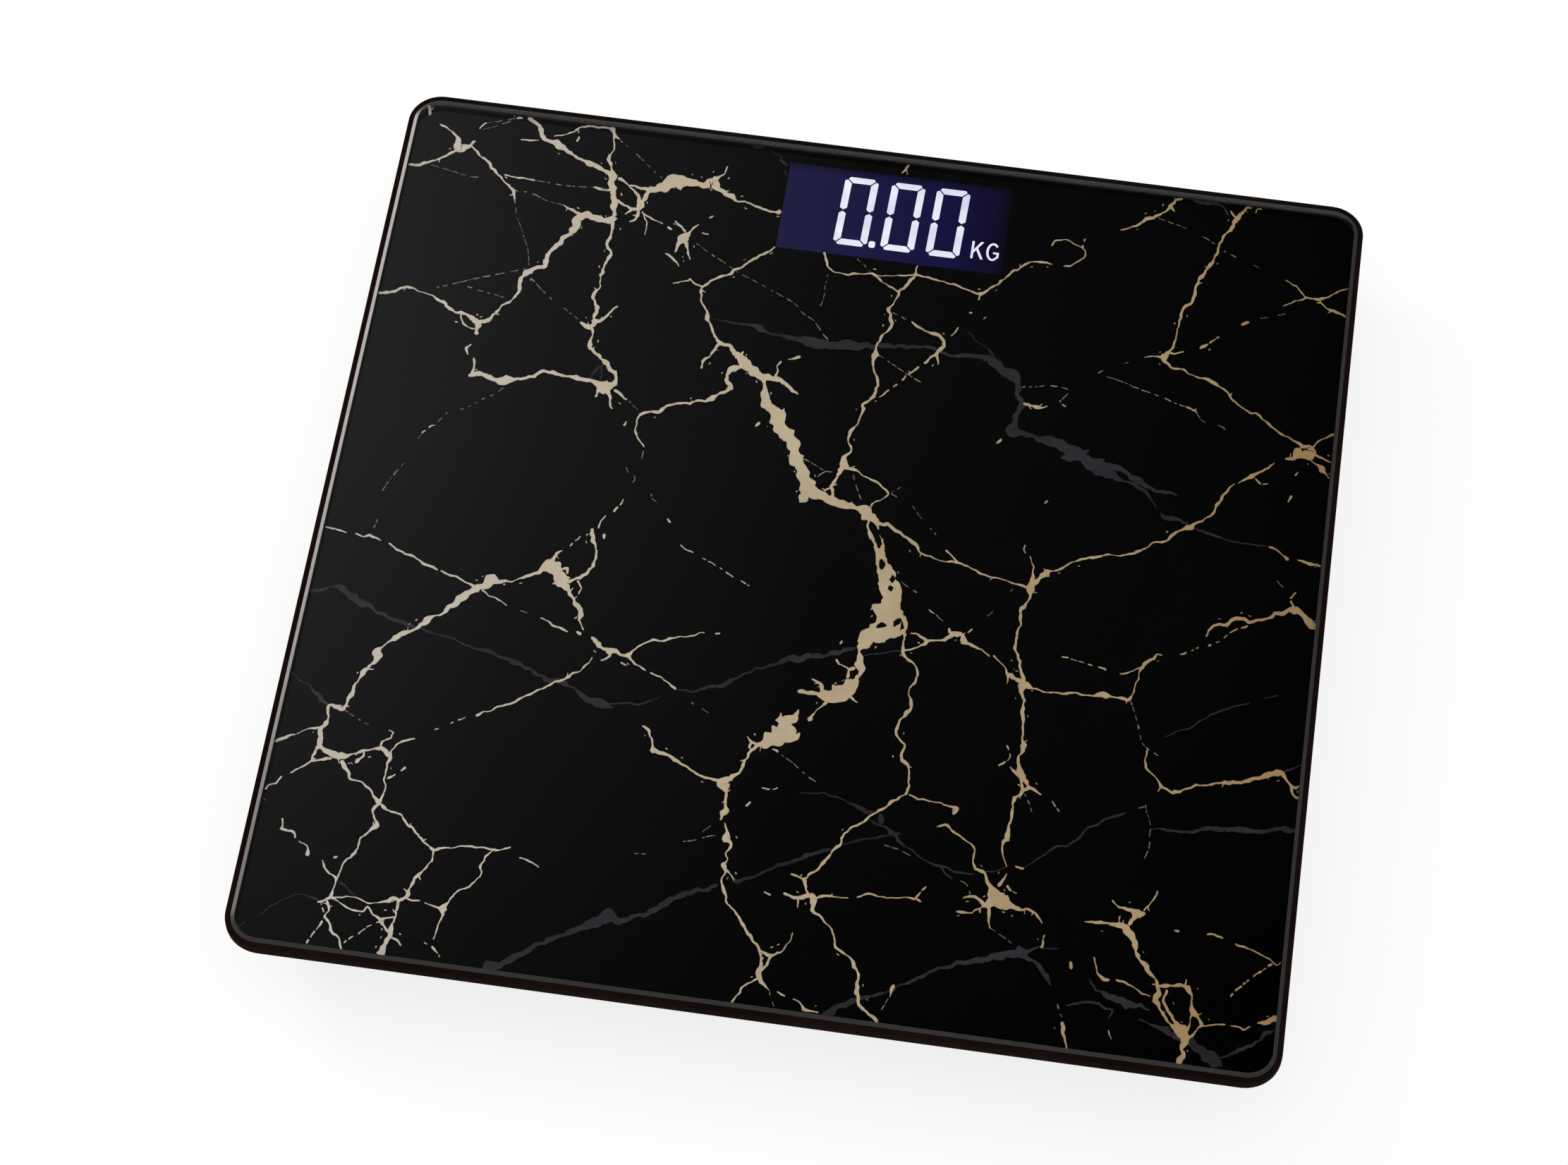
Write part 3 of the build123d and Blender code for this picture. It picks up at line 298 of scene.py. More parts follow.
     (103.5, 28, .6), (101.5, 26, 1.3), (100.2, 25, 1.8), (98.5, 24.3, .9), (96.5, 22.3, .9), (95, 20.8, 1),
     (93.8, 19.6, .7), (91, 18.5, .5), (88.5, 16.5, .6), (86, 14.6, 1), (83.5, 13.5, .6), (80, 12.9, .4),
     (78, 12.6, .9), (75.5, 11.4, 1), (72, 10.3, .9), (69.5, 9.2, .6), (67, 6.8, .8), (64.5, 5.6, .6),
     (62.5, 4.6, 1.8), (61, 2, 1.2), (59.3, .2, 1.7)],
    [(62.3, 4.8, .9), (61.8, 5.9, .4)],
    [(51.5, 114, .5), (52.5, 115.8, .5), (54.5, 116.5, .5), (56.5, 116.5, .5), (58.5, 115.2, .5),
     (60.3, 114.4, .6), (61.5, 113, .8), (61.3, 111.3, .7), (60.5, 110.2, .5), (58.8, 108.8, .5),
     (57.5, 107.5, .8), (55.8, 107.3, .5)],
    [(60.3, 114.4, .5), (60.6, 116.5, .5), (61, 118.5, .4)],
    [(119.5, 112, .4), (122, 110.8, .6), (124, 108.8, .7), (126, 107, .8), (128.5, 106.9, .9),
     (129.7, 107, 1.5), (132, 108, .6), (134.5, 110, .6), (137.5, 111.8, .6)],
    [(129.6, 106.5, 1), (130.5, 105.2, .7), (132.5, 103.8, 1.1), (134, 103.4, 1), (136, 102.8, .7),
     (137.5, 102, .7)],
    [(126, 107, .7), (124.8, 106, .6), (122.5, 105, .5), (121, 104, .5), (119.6, 103, .4)],
    [(97.4, 84.9, .6), (98.2, 85.6, .9), (99.4, 86.6, .8)],
    [(99.9, 87.2, .5), (102, 89.3, .6), (103, 90.5, .5)],
    [(108.5, 94.8, .7), (110, 96, .9)],
    [(50, 58.8, .8), (53, 58.2, 1.2), (55, 58.2, .7), (56.5, 59, .4)],
    [(95.5, 64.7, .5), (97, 64.2, .8), (98.6, 63, .4)],
    [(122.8, 22.2, .5), (124, 22, .9), (125.5, 21, .5), (127.5, 19.6, .6), (128.3, 19, 1.2)],
    [(131, 19, .4), (133, 18.6, .8), (134.5, 18.2, 1.1), (136.5, 18.4, .9), (137.5, 18, .8)],
    [(108.3, -9, .5), (109, -7, .6), (110.2, -5.2, .9), (112.5, -4.8, 1), (114.5, -3.5, .9), (116, -2, 1.4),
     (118, -2, 1.2), (119.5, -2.5, 1.2), (122, -2, .9), (124.5, -.4, 1), (127, 1.2, 1.8), (129.5, 2.4, 1.8),
     (132, 2.8, 2.2), (134, 1.6, 1.6), (136, -.2, 2.2), (137.5, -1.5, 3)],
    [(131.2, 4, .6), (130.2, 6.5, .4), (131.3, 8.5, .4)],
    [(109.2, -11.8, .5), (112, -10, .5), (114, -7.8, .5), (115.5, -6.2, .6), (118.5, -4.5, .4),
     (120, -3.3, .5)],
    [(102, -15.8, .5), (105, -14, .6), (107.5, -12, .6)],
    [(126.8, 37.5, .6), (127.4, 39.5, .8)],
    [(128, 46.5, .5), (128.7, 47.7, .6)],
    [(44, 44.5, .6), (45, 46, .8)],
    [(59.8, 26.9, .8), (60.1, 27.7, .8)],
    # lower right of the middle
    [(55.7, 12.5, .5), (55.4, 11.4, .6), (56.2, 10, .5)],
    [(57.5, 9, .5), (58.5, 7, .6), (58.8, 4.5, .8), (58.9, 2, 1), (59, -.5, 2), (59, -3, 1.2),
     (58.5, -5.5, .9), (57.3, -7.5, 1.1), (57.5, -10, .8), (57.5, -13.5, .7), (56.8, -16.5, 1.1),
     (56.8, -19.5, .8), (58, -22.5, 1.1), (58.8, -25, .8), (59.5, -28, 1), (60, -30.3, 1.6),
     (60.3, -31.8, 2.6), (60.3, -34, 1.2), (61.2, -36.5, .9), (61, -40, 1), (61.7, -42.5, 1.2),
     (62.2, -46, .7), (62, -48.5, 1), (63, -50, 1.6), (62.3, -53, .9), (62, -55, .8), (62.8, -57.5, 1.2),
     (63.4, -59.5, 2), (63.6, -61.5, 1), (64, -64, 1.3), (62.5, -66.5, 1), (62, -70, .9), (62.2, -73, .9),
     (61.8, -76, .8), (61.5, -78.6, 1.8), (60.7, -81, .8), (61.5, -84.5, .5), (62.5, -87.3, .6)],
    [(60, -57.3, .5), (61, -58.5, .9), (63, -59.5, 1.5)],
    [(63.8, -60, 1.2), (65.5, -62, .9), (66.5, -63, 1), (69, -64.5, .5)],
    [(65.6, -62.8, .9), (64.4, -64.2, 1)],
    [(72.3, -66, .4), (74.5, -68.7, .5)],
    [(58.3, -51, .5), (59.5, -54.5, .6), (57, -57.5, .6), (57, -58.5, .4)],
    [(61, -31.7, 1.8), (64, -32.6, .8), (67.5, -33, .6), (71, -32.8, .7), (74, -32.1, .8), (77, -32.2, .6),
     (80, -32, .8), (82.3, -31.4, 2), (85, -31.5, .7), (88, -31.8, 1), (89.5, -32, 1.2), (90.3, -29.5, .4),
     (91, -26, .4), (91.5, -23, .5), (92, -21.5, 1.3), (93, -19.8, 1), (94.5, -18, .9), (95.5, -16.6, 1),
     (96.8, -16.8, .5)],
    [(91.5, -21.5, .6), (89, -23, .4), (87.5, -24, .9), (86.2, -24.2, .5)],
    [(70, -21.2, .5), (73, -21.8, .6), (75, -22.1, .4), (78, -22.8, .5), (81, -23.2, .5), (83, -23.9, .6)],
    [(26.8, -26, .8), (29.5, -24.5, .6), (32, -23.3, .7), (33.2, -21.8, 1.2), (36, -21.3, .7),
     (38.5, -20, 1), (40.2, -18.7, 1.6), (42, -18.8, 1.2), (43, -20.5, 1.8), (45, -21.3, 1),
     (47.5, -22.3, .7), (50.3, -24, .5)],
    [(28, -20.2, .4), (30, -20.4, .8), (32.5, -21.6, 1)],
    [(38.2, -17, .5), (38.6, -18.2, .9), (40, -18.8, 1)],
    [(51.5, -23.8, .7), (53, -25.2, .5), (55.3, -27.5, .6), (56, -29.3, 1.5), (58.5, -30, 1.3),
     (60, -31.2, 1.8)],
    [(55.9, -29.4, .9), (56, -31.8, .4)],
    [(42.2, -18.4, .6), (44, -17.2, .5), (45.5, -15.2, .6)],
    [(34, -69.8, .6), (37, -70.6, .6), (40, -71, .5), (43, -71, .5), (46, -71.7, 1), (47.3, -72, 1.8),
     (46.5, -73.8, .6)],
    [(42.7, -78.3, .5), (45, -77.3, 1), (47, -78.5, .6), (49.5, -80.5, .6), (52, -82, .7), (53.3, -84, .7),
     (53.3, -86.5, .7), (54, -89, .9), (55, -89.8, 1.2), (57, -90, .9), (57.5, -91.5, .9), (58.5, -93, 1.1),
     (59.8, -94.6, 2.6), (61, -96.6, 4.4), (62.5, -98, 3.6), (65, -98.6, 2), (67.5, -99.3, 1.2),
     (70, -99.3, .9), (72, -100.3, .9), (73.8, -102.5, .5)],
    [(60.6, -97.8, 3), (58.5, -99.6, 2), (56.5, -98.6, 1.1), (54.5, -97.6, 1), (52.3, -98.3, .6)],
    [(57.8, -100, .9), (56, -101.5, .6), (55, -102.4, .4), (52.4, -102.3, 1.2), (51, -102.5, .4)],
    [(59.3, -99.6, 1), (59.8, -103, .8), (60.3, -106, .6)],
    [(61.2, -93.3, 1), (62.2, -91.3, .9), (62.8, -89.5, .4)],
    [(65, -87, .8), (67, -87.2, .9)],
    [(63.5, -93, .5), (64.5, -94.2, .5), (66.5, -94.8, .4), (68.5, -94.3, .4)],
    [(14, -104, 1), (16.5, -103, .8), (19, -103, .5), (22, -102.8, .5)],
    [(24.5, -102.2, .5), (27, -101, .7), (29, -101, .6), (33, -101.2, .5), (36.5, -100.6, .4),
     (39.5, -100.3, .7), (41.2, -101, .4)],
    [(39.8, -100, .5), (41, -98, .4), (42.5, -96, .3)],
    [(9.5, -99, .7), (8, -98.7, .7), (6.2, -98, .6)],
    [(5.2, -104, .6), (7, -104.5, .8), (9, -104.8, 1.2), (11.4, -103.9, 1.4)],
    [(9, -105, .7), (9.3, -107.5, .4)],
    [(0, -104.3, .6), (1.5, -105, .7)],
    [(37.4, -126.4, .6), (37.2, -127.6, 1.2), (36.9, -129.8, .4)],
    # lower right
    [(96, -46.5, .4), (95.8, -50, .5), (96.5, -52.3, .7), (98.5, -54, .6), (100, -55.5, .7),
     (100.8, -57, .9), (103, -58.2, .8), (104.2, -58.7, 1.4), (107, -57.5, .6), (109, -56.3, .9),
     (111, -55.2, .7), (113.5, -54.7, .8), (116.5, -53.8, .9), (119, -53.3, 1.5), (122, -52.9, 1.6),
     (124.5, -51.3, 1.2), (127, -50.3, 1.7), (130, -49.3, 1.7), (131.5, -48.6, 2.1), (133, -48.6, 1.4),
     (134.3, -50.8, .7), (135.8, -52.2, 1.1), (137.5, -51.7, .8)],
    [(135.5, -52.6, 1), (136, -54.3, .7), (137.5, -55.3, .8)],
    [(100.8, -57.2, .7), (100.2, -58.8, .5)],
    [(85, -100.5, .4), (88, -100.3, 1.3), (91, -100.2, .8), (94, -100, 1.6), (96, -100.2, 2.2),
     (97, -102, 2.2), (98.5, -104.5, 1.6), (99, -106.8, 1.5), (100.5, -109, .9), (102.3, -111.3, 1.4),
     (103.8, -113.3, 1.1), (105.3, -115, 1), (106.3, -116.6, 1.2), (106.6, -118.6, 1.8),
     (106.2, -120.2, 1.6), (107, -122.6, .9), (108.5, -125, 1.2), (110.5, -126.8, 1), (113, -128, 2.6),
     (114.5, -129.8, 2.6), (115, -131.5, 1.8), (113.8, -133.3, 1.1), (114.8, -135, 1.4),
     (113.3, -137.2, 2)],
    [(94, -99.4, .7), (94, -97.5, .4)],
    [(96.8, -99.5, 1.2), (97.5, -97.6, 1.3), (98.4, -96, 2.2), (100.2, -95.6, 1.6)],
    [(97.6, -95.4, 1.3), (95, -95.3, .9), (93, -94.5, .6), (91.6, -93.2, .7)],
    [(100.2, -94.8, .8), (102, -92, .5), (103, -90, .5), (103, -88.7, .6)],
    [(106.2, -116.2, 1.2), (108.5, -116, 1.6), (110.5, -115.2, 1), (112.5, -115.2, 1.2),
     (113.8, -115.5, 1.6), (115, -117.5, .8), (115.3, -120, .7), (116, -122.5, 1.6), (117.5, -124, 1.3),
     (118.8, -126, 1.1), (117.5, -127.3, .7), (116.5, -129, .9), (115.3, -130, 1.5)],
    [(113.2, -114.9, .8), (113.2, -113.3, .4)],
    [(108.4, -117.2, 1.1), (107.8, -120, .8), (109.3, -122.8, .8), (111.5, -125.5, 1), (113, -127.2, 1.8)],
    [(115.8, -123, .9), (115.5, -125.5, .5), (115, -127.8, .6)],
    [(119.2, -126, .7), (121.5, -125.3, .6), (124.5, -124.8, .5)],
    [(126, -124.9, .4), (128.3, -125, .5), (129.3, -125.6, .7), (131, -124.3, .4)],
    [(133, -122.9, .7), (135, -122.5, 1.2), (136.5, -121.8, 1.6), (137.5, -120.8, 2.4)],
    [(93, -116.3, .9), (91.5, -116.3, 1.1), (90, -115, .6), (89.3, -112.5, .5), (88.5, -110.5, .4)],
    [(95, -116.2, .6), (97, -116.5, .7), (99, -117.5, .6), (102, -118.8, .5), (104.3, -119.5, .5)],
    [(82.6, -112.8, .6), (83, -114.5, 1.3)],
    [(74.4, -109.6, 1.1), (74.8, -106, .4)],
    [(82.4, -130.6, 1.2), (82.9, -132.4, 1), (84.3, -137.6, .6)],
    [(94.5, -131, .4), (95.5, -133, .6), (96.3, -135, .4)],
    [(108.8, -99.6, .8), (109.8, -99.7, .8)],
    [(117.5, -99.3, .5), (119, -99.2, .9), (121.5, -99.8, .5)],
    [(125, -101, .4), (127.5, -101.8, .8), (131, -102.7, .5), (133, -103.5, .6), (135.3, -105, .5),
     (136.5, -105.6, .6), (137.5, -104.8, .5)],
    [(135, -105.5, .4), (132.5, -108, .5), (130.5, -110, .4)],
    [(129.5, -111, .5), (127.5, -113.3, .6), (126, -115, .5), (125, -117, .6), (124.3, -117.5, .4)],
    # lower middle
    [(1, -48.5, .6), (.2, -50.6, 2), (-1.6, -53, 4.6), (-1.8, -55.6, 5.8), (-4, -58, 4.6), (-6.5, -60, 2.6),
     (-8.5, -61.3, 1.3), (-10, -62.5, 1.1), (-10.8, -64.5, .8), (-11.2, -67, .9), (-11.5, -69.3, 1),
     (-13, -71, 1), (-14.6, -72.4, 1.8), (-15.8, -73.5, 3), (-15, -75.5, 1.7), (-14.3, -78, .8),
     (-14.3, -80.5, 1.1), (-14.2, -82.3, 2), (-14.8, -84.8, .7)],
    [(-3.6, -50.2, .6), (-3.4, -52.4, 2.4)],
    [(2.3, -55.6, .8), (.8, -57.2, 2.4), (-1.5, -57.6, 3)],
    [(-8.4, -60.8, .7), (-10, -60, .9), (-11.5, -58.7, .5)],
    [(-10.2, -60.2, .7), (-10.5, -62, .8)],
    [(-13.6, -85.6, .6), (-12.8, -88, .9), (-12.5, -90, 2), (-11.3, -91.5, 1.2), (-11.7, -94, .6),
     (-11.6, -96.5, .7), (-11.8, -98.3, 1.6), (-11, -100, .8), (-11.8, -102.5, .6), (-11, -104.8, 1.1),
     (-10.2, -106.5, 1), (-10, -108.5, .7), (-8.3, -110.5, .5), (-6, -112.3, .6), (-4, -114.8, 1),
     (-2.2, -117, 1), (-.6, -119.3, .8), (1, -121.5, 1), (1.8, -124, .8), (2, -127, 1.2), (2.2, -129, 1.4),
     (3.5, -131, .8), (5.3, -132.6, .5)],
    [(1.3, -121.7, .9), (4, -122.5, 1.1), (5.8, -121.5, .8), (7.5, -120.3, .5), (8.3, -118.3, .4),
     (8.7, -117, .4), (9, -115.2, .4)],
    [(4.2, -122.6, 1), (3.8, -125, .7), (2.5, -127.5, .9)],
    [(2, -129.5, .9), (0, -131, .6), (-1.8, -133, .7), (-2.5, -135, .7), (-3.8, -137.5, .9)],
    [(7.5, -132.8, .4), (9.8, -133.8, .5)],
    [(12, -134.2, .4), (14, -135, .6), (15, -136.8, .9), (17, -137, 1), (18.8, -137, 1)],
    [(-10.8, -99.6, .8), (-8.6, -102.2, .4)],
    [(-40, -59.8, .7), (-38, -60.8, .9), (-37.2, -62.5, .6), (-36.5, -65, .7), (-36.3, -66.4, 1.6),
     (-34.5, -67, 1.2), (-32, -67.7, 1), (-30, -68.3, 1.3), (-27.5, -69.5, .8), (-25, -70.8, .7),
     (-22.8, -72.3, .8), (-20, -72.8, .7), (-17, -73.2, 1.2)],
    # the pale vein on the left
    [(-64, -.5, 1.3), (-63.2, -2.8, 1.4), (-62.5, -4.5, 1), (-61.7, -6.5, .7), (-61.3, -8, 1),
     (-61.5, -10, .6), (-61.6, -12, 1.3), (-63, -14.5, 1.2), (-64.5, -16.6, 1.7), (-66, -17.2, .8),
     (-67.4, -18.2, 1.4)],
    [(-64.5, -2, .6), (-66.5, -3, .5), (-68, -5, .6), (-69, -6.6, .5)],
    [(-70.8, -8.4, .4), (-72, -9.3, .8), (-72.6, -11, .9), (-73.2, -13, 2.2)],
    [(-72.8, -13.6, 3.6), (-74.4, -14.6, 2.6), (-77, -17, 1.4), (-79.5, -18.3, .9), (-82, -19.4, .5),
     (-84, -20.2, .8), (-86, -20.8, 1.6), (-88.5, -20.8, 2.6), (-90.5, -22.5, 2), (-92.5, -24, 2),
     (-94, -26, 2), (-96, -28.5, 2.4), (-98, -30.5, 2.4), (-99.5, -33, 1.4), (-102, -34.5, .8),
     (-104, -36.2, 1.9), (-106, -38.5, 1.4), (-107.5, -39.8, .8), (-109.5, -41, 1.4), (-111, -42.8, 1.6),
     (-113, -44.2, .6), (-114.5, -46, .7), (-115.4, -48, 3), (-115.3, -50, 1.6), (-116.5, -52.5, 1.2),
     (-117.5, -54.3, 1.6), (-118.3, -56.5, .7), (-119.3, -59, .9), (-119.8, -62, 1.4), (-120.5, -64.5, .9),
     (-121.3, -66.8, 2.2), (-123.5, -66.5, 1.2), (-125, -66.4, 1.3), (-124.5, -69, 1), (-125, -71.5, 1.2),
     (-125.8, -73.5, 1.8), (-125.8, -76, 1.6), (-125.3, -78.5, 1.7), (-123.5, -80, 1.4), (-121, -81.3, 2.4),
     (-118.8, -81.3, 2.2), (-116.5, -80.3, .8), (-114.5, -79, 1), (-113.3, -78.5, 1), (-111, -77.8, .6),
     (-108.8, -77, 1.5), (-107.3, -78, 1.4), (-106, -79.5, 1.2), (-106.3, -81.2, .8), (-106, -84, .6),
     (-105.8, -86.8, .9), (-105.3, -89, .5), (-105.3, -91.5, .6), (-106, -93.5, 1.2), (-107, -96, .7),
     (-106.6, -98.5, .8), (-105.5, -100.3, 1.5), (-107, -102, .9), (-109, -104.3, .7), (-109.3, -106.5, .6),
     (-109.8, -109.5, .7), (-111.5, -112, .6), (-112.3, -114.5, .6), (-113, -117.5, .8), (-113.3, -121, .6),
     (-113.5, -123, 2), (-115, -124.2, 1), (-116.5, -124.9, .6)],
    [(-72.6, -14.2, 3.6), (-70.5, -16, 3.6), (-69, -18.4, 3.4), (-67.5, -20.3, 1.6), (-66, -22.3, 1.2),
     (-64.5, -24.2, 1.3), (-62.8, -26.2, 1.4), (-62.5, -28.2, 1.6), (-62.2, -30.2, .7), (-61, -32.5, .5)],
    [(-70.4, -14.5, .8), (-68.5, -13.8, 1), (-68.2, -15.4, .9)],
    [(-71.6, -19.2, 1.2), (-69.4, -19.4, 1.8)],
    [(-65, -17.5, 1), (-64, -19.5, .7), (-64, -21.5, .4)],
    [(-63.3, -28.8, .6), (-65.5, -30.8, .4)],
    [(-62.4, -33.4, 1), (-61.5, -33.8, 1.1)],
    [(-58, -34.5, 1.2), (-56.5, -36, 1.5), (-54.5, -37.7, 1.2), (-52.5, -38.2, 1.9), (-51, -37.8, 1.3),
     (-49.5, -38.5, .8), (-47.5, -38.4, 1.4), (-46.6, -37.2, .9), (-44.5, -35, .6), (-42, -33.3, .9),
     (-39, -32.6, .7), (-36.5, -31.8, .8), (-34, -30.5, .5), (-31, -30, .5), (-29.5, -28.6, .5),
     (-28, -28.5, .5)],
    [(-47.4, -38.9, 1.1), (-45, -41, .6), (-42, -42.5, .5)],
    [(-40.5, -43, .5), (-37, -44.5, .5), (-33, -47, .7)],
    [(-24.8, -28.3, .5), (-23.8, -28, .5)],
    [(-52.3, -39.4, .8), (-53.5, -41, .6), (-54.5, -41.2, .5)],
    [(-49, -41.2, .4), (-46.2, -42.2, .5)],
    [(-73, -30.5, .5), (-70, -32, .6), (-67, -33, .8), (-65, -33.7, .5)],
    [(-137.5, -10.8, 1), (-135, -11, .7), (-133, -11.2, .7), (-131, -11.7, .5)],
    [(-128.3, -11.6, .5), (-126, -12.2, .7), (-124.5, -11.4, 1.1), (-122.5, -12.2, .7), (-121, -12.8, .5)],
    [(-118.7, -13.3, .6), (-116.5, -14.8, .6), (-113.5, -15.6, .9), (-110, -17, .7), (-107, -18.6, .8),
     (-105, -19, .7), (-104, -19.8, .6)],
    [(-102.8, -19.8, .6), (-100, -20.8, .7), (-97, -21.8, .6), (-94.5, -22.9, .8), (-91.8, -23.4, 1)],
    [(-90.5, -24.3, .7), (-88, -25.7, .5), (-85.5, -26.7, .6), (-83, -28, .4)],
    [(-125.5, -79.3, 1.2), (-126.6, -82, .9), (-126.3, -83.7, .8), (-124, -82.8, .8), (-121.6, -82, 1.4)],
    [(-126.5, -83.5, .7), (-128, -85.2, .6), (-130, -86.5, .7), (-131.3, -88, .6)],
    [(-133.5, -89.5, .5), (-134.7, -91.7, .6), (-136.5, -92.8, .6), (-137.5, -93.7, .8)],
    [(-126.4, -73.2, 1), (-129, -74, .5), (-132, -76, .4)],
    [(-132.5, -76.3, .9), (-134.5, -77.2, 1), (-137.5, -79.3, 1.1)],
    [(-109, -76.5, 1), (-108.8, -75, .6), (-107.5, -74, .6), (-106.5, -73.5, .6), (-106.3, -71.8, .5),
     (-107.6, -71.3, .4)],
    [(-105.8, -78.8, 1), (-106, -77.5, .8), (-105, -75.5, .7), (-103, -74, .7), (-100.3, -72.8, .5)],
    [(-105.2, -85.8, .7), (-103.5, -84.3, .6)],
    [(-102, -83, .6), (-101.2, -81.9, .8)],
    [(-118.4, -82.6, 1.6), (-116.3, -85, 1), (-115, -87.3, .8), (-112.5, -87.8, .6), (-110, -89.3, .7),
     (-107.8, -91.5, .8), (-106, -93.5, 1.2), (-103, -95.4, .6), (-100, -96, .6), (-98.5, -97, .6),
     (-97.3, -98.9, .8), (-95.3, -100, .6), (-93.5, -101.8, .8), (-91, -103.8, .6), (-89.2, -105.2, 1),
     (-86.5, -104, .7), (-84, -103.6, .5), (-80.5, -102.7, .7), (-76.5, -102.6, .6), (-73.5, -102.8, .8),
     (-71, -102.3, .6), (-69, -101.4, .5)],
    [(-113.1, -78.8, .9), (-113, -80, .8), (-114.5, -82.2, 1)],
    [(-66, -104, .4), (-62.5, -104.8, .7), (-60.5, -106, .5)],
    [(-73.5, -103, .6), (-75, -105, .6), (-75.8, -107.5, .7), (-75.3, -110, .5), (-75.8, -112, .6),
     (-78, -114.3, .6), (-80, -115.8, .7), (-81.5, -118, .6), (-82.3, -120, .6), (-83.3, -121.9, 1.6),
     (-83.5, -125.5, .5), (-84, -128, .5), (-84.3, -131, .5)],
    [(-84, -122, 1), (-86.5, -121.5, .6), (-88.5, -121, .6)],
    [(-90, -120.5, .5), (-92, -120.8, .6), (-93.8, -120.3, .8)],
    [(-86.5, -132.5, .4), (-84.5, -133.2, .6), (-82.5, -135, .5), (-80.5, -137.5, .5)],
    [(-89.1, -105.5, 1), (-89.3, -108.5, .8), (-90.8, -111.5, .9), (-92.3, -114.5, .9), (-93.3, -117.5, 1),
     (-94, -120, 1.4), (-95.2, -121.5, 1.3), (-95.2, -124, .8), (-95.8, -126.5, .7), (-95.8, -129, 1),
     (-96, -131.5, 1.4), (-96.5, -134, 1.5), (-97, -137.4, 1.8)],
    [(-95.5, -121.4, 1), (-97, -120.8, 1.6), (-98, -121.8, 1.4), (-100, -122.5, .5), (-103, -123.3, .5),
     (-105.5, -122.5, .5), (-107.3, -121.8, .6), (-110.5, -122.6, .5), (-113, -123.2, 1)],
    [(-95.8, -126.3, .6), (-98, -127, .7), (-99.2, -127.6, 1.4), (-98, -129.3, .6), (-96.5, -130.8, .8)],
    [(-99.4, -127.5, .8), (-101.3, -126.5, .6), (-103.3, -124.2, .6), (-104.2, -125.5, .8),
     (-106, -126, .6), (-109, -125, .6), (-112, -123.5, .7)],
    [(-99.5, -128.3, .6), (-102, -130, .5), (-104, -132.2, .5), (-106.5, -134.5, .5), (-107.8, -136.5, .6)],
    [(-114.2, -124.2, .9), (-113.2, -126.5, .6), (-113.8, -129, .7), (-112.5, -130.5, .7),
     (-111, -132.8, .9), (-109, -135, .7), (-107.8, -137.4, .8)],
    [(-115.8, -125, .5), (-114.5, -127.5, .5), (-113.8, -129, .6), (-115, -132, .4), (-116.5, -135.5, .5),
     (-117.3, -137.4, .6)],
    [(-95.4, -132.2, .9), (-93.3, -133.2, .6), (-92.7, -134.2, .8)],
    [(-113, -117.5, .7), (-114.5, -116.3, .6), (-116.5, -114.8, .6), (-117.7, -112.6, .5)],
    [(-114.8, -111.4, .8), (-114.2, -111, .8)],
    [(-130.8, -102, .5), (-130.3, -104.2, .6), (-130.6, -105, .9), (-128.5, -105.5, .7),
     (-126.8, -105.5, .7), (-126.2, -107, .8)],
    [(-125, -108, .4), (-122.5, -109.2, .5), (-121.8, -111.5, 1.3)],
    [(-57, -40.8, .4), (-58, -43, .5), (-60, -45.5, .6), (-62, -47, .8), (-63.5, -48.5, .7),
     (-65.6, -50, .8), (-69, -52.5, .6), (-72.5, -55, .7), (-76, -57.7, .8), (-80, -60, .7),
     (-82.5, -61.5, .7), (-85, -63.2, .9)],
    [(-88, -64.3, .5), (-91, -66.2, .6), (-93, -68, .4)],
    [(-94.5, -68.9, .6), (-96, -69.7, .5)],
    [(-56.8, 10.5, .4), (-57, 9.4, .7), (-57.4, 8.6, .4)],
    [(-58, 7.8, .6), (-58.8, 6.3, .7)],
    [(-60.8, 4.5, .5), (-61.7, 2.5, .6), (-62.2, .3, .7)],
    [(-116.2, 23.8, .5), (-114, 26.5, .5), (-113.2, 26.8, .4)],
    [(-60.5, 34.8, .7), (-60.1, 36, .5)],
    [(-60.2, -1.6, 1.1), (-60.1, -2.8, .6)],
    [(-24, 40.1, .8), (-23, 41, .9)],
    [(-38.7, -1.8, .5), (-37, -3, .7), (-35, -3.6, .5)],
    [(-32, -5, .6), (-28, -6.8, .6), (-25, -8.5, .5), (-22.5, -9.8, .5)],
    [(-20.5, -10.7, .5), (-18, -11.9, .6), (-16, -12.5, .5)],
    [(-43.6, 6, .6), (-42.7, 5.2, .6)],
    [(-5.2, -73.6, .5), (-3, -73.8, .6), (-1.2, -73, .6)],
    [(-8.7, -79.6, .6), (-7.8, -78.4, .5)],
    [(-4.2, -61.6, .5), (-2.8, -62, 1)],
]

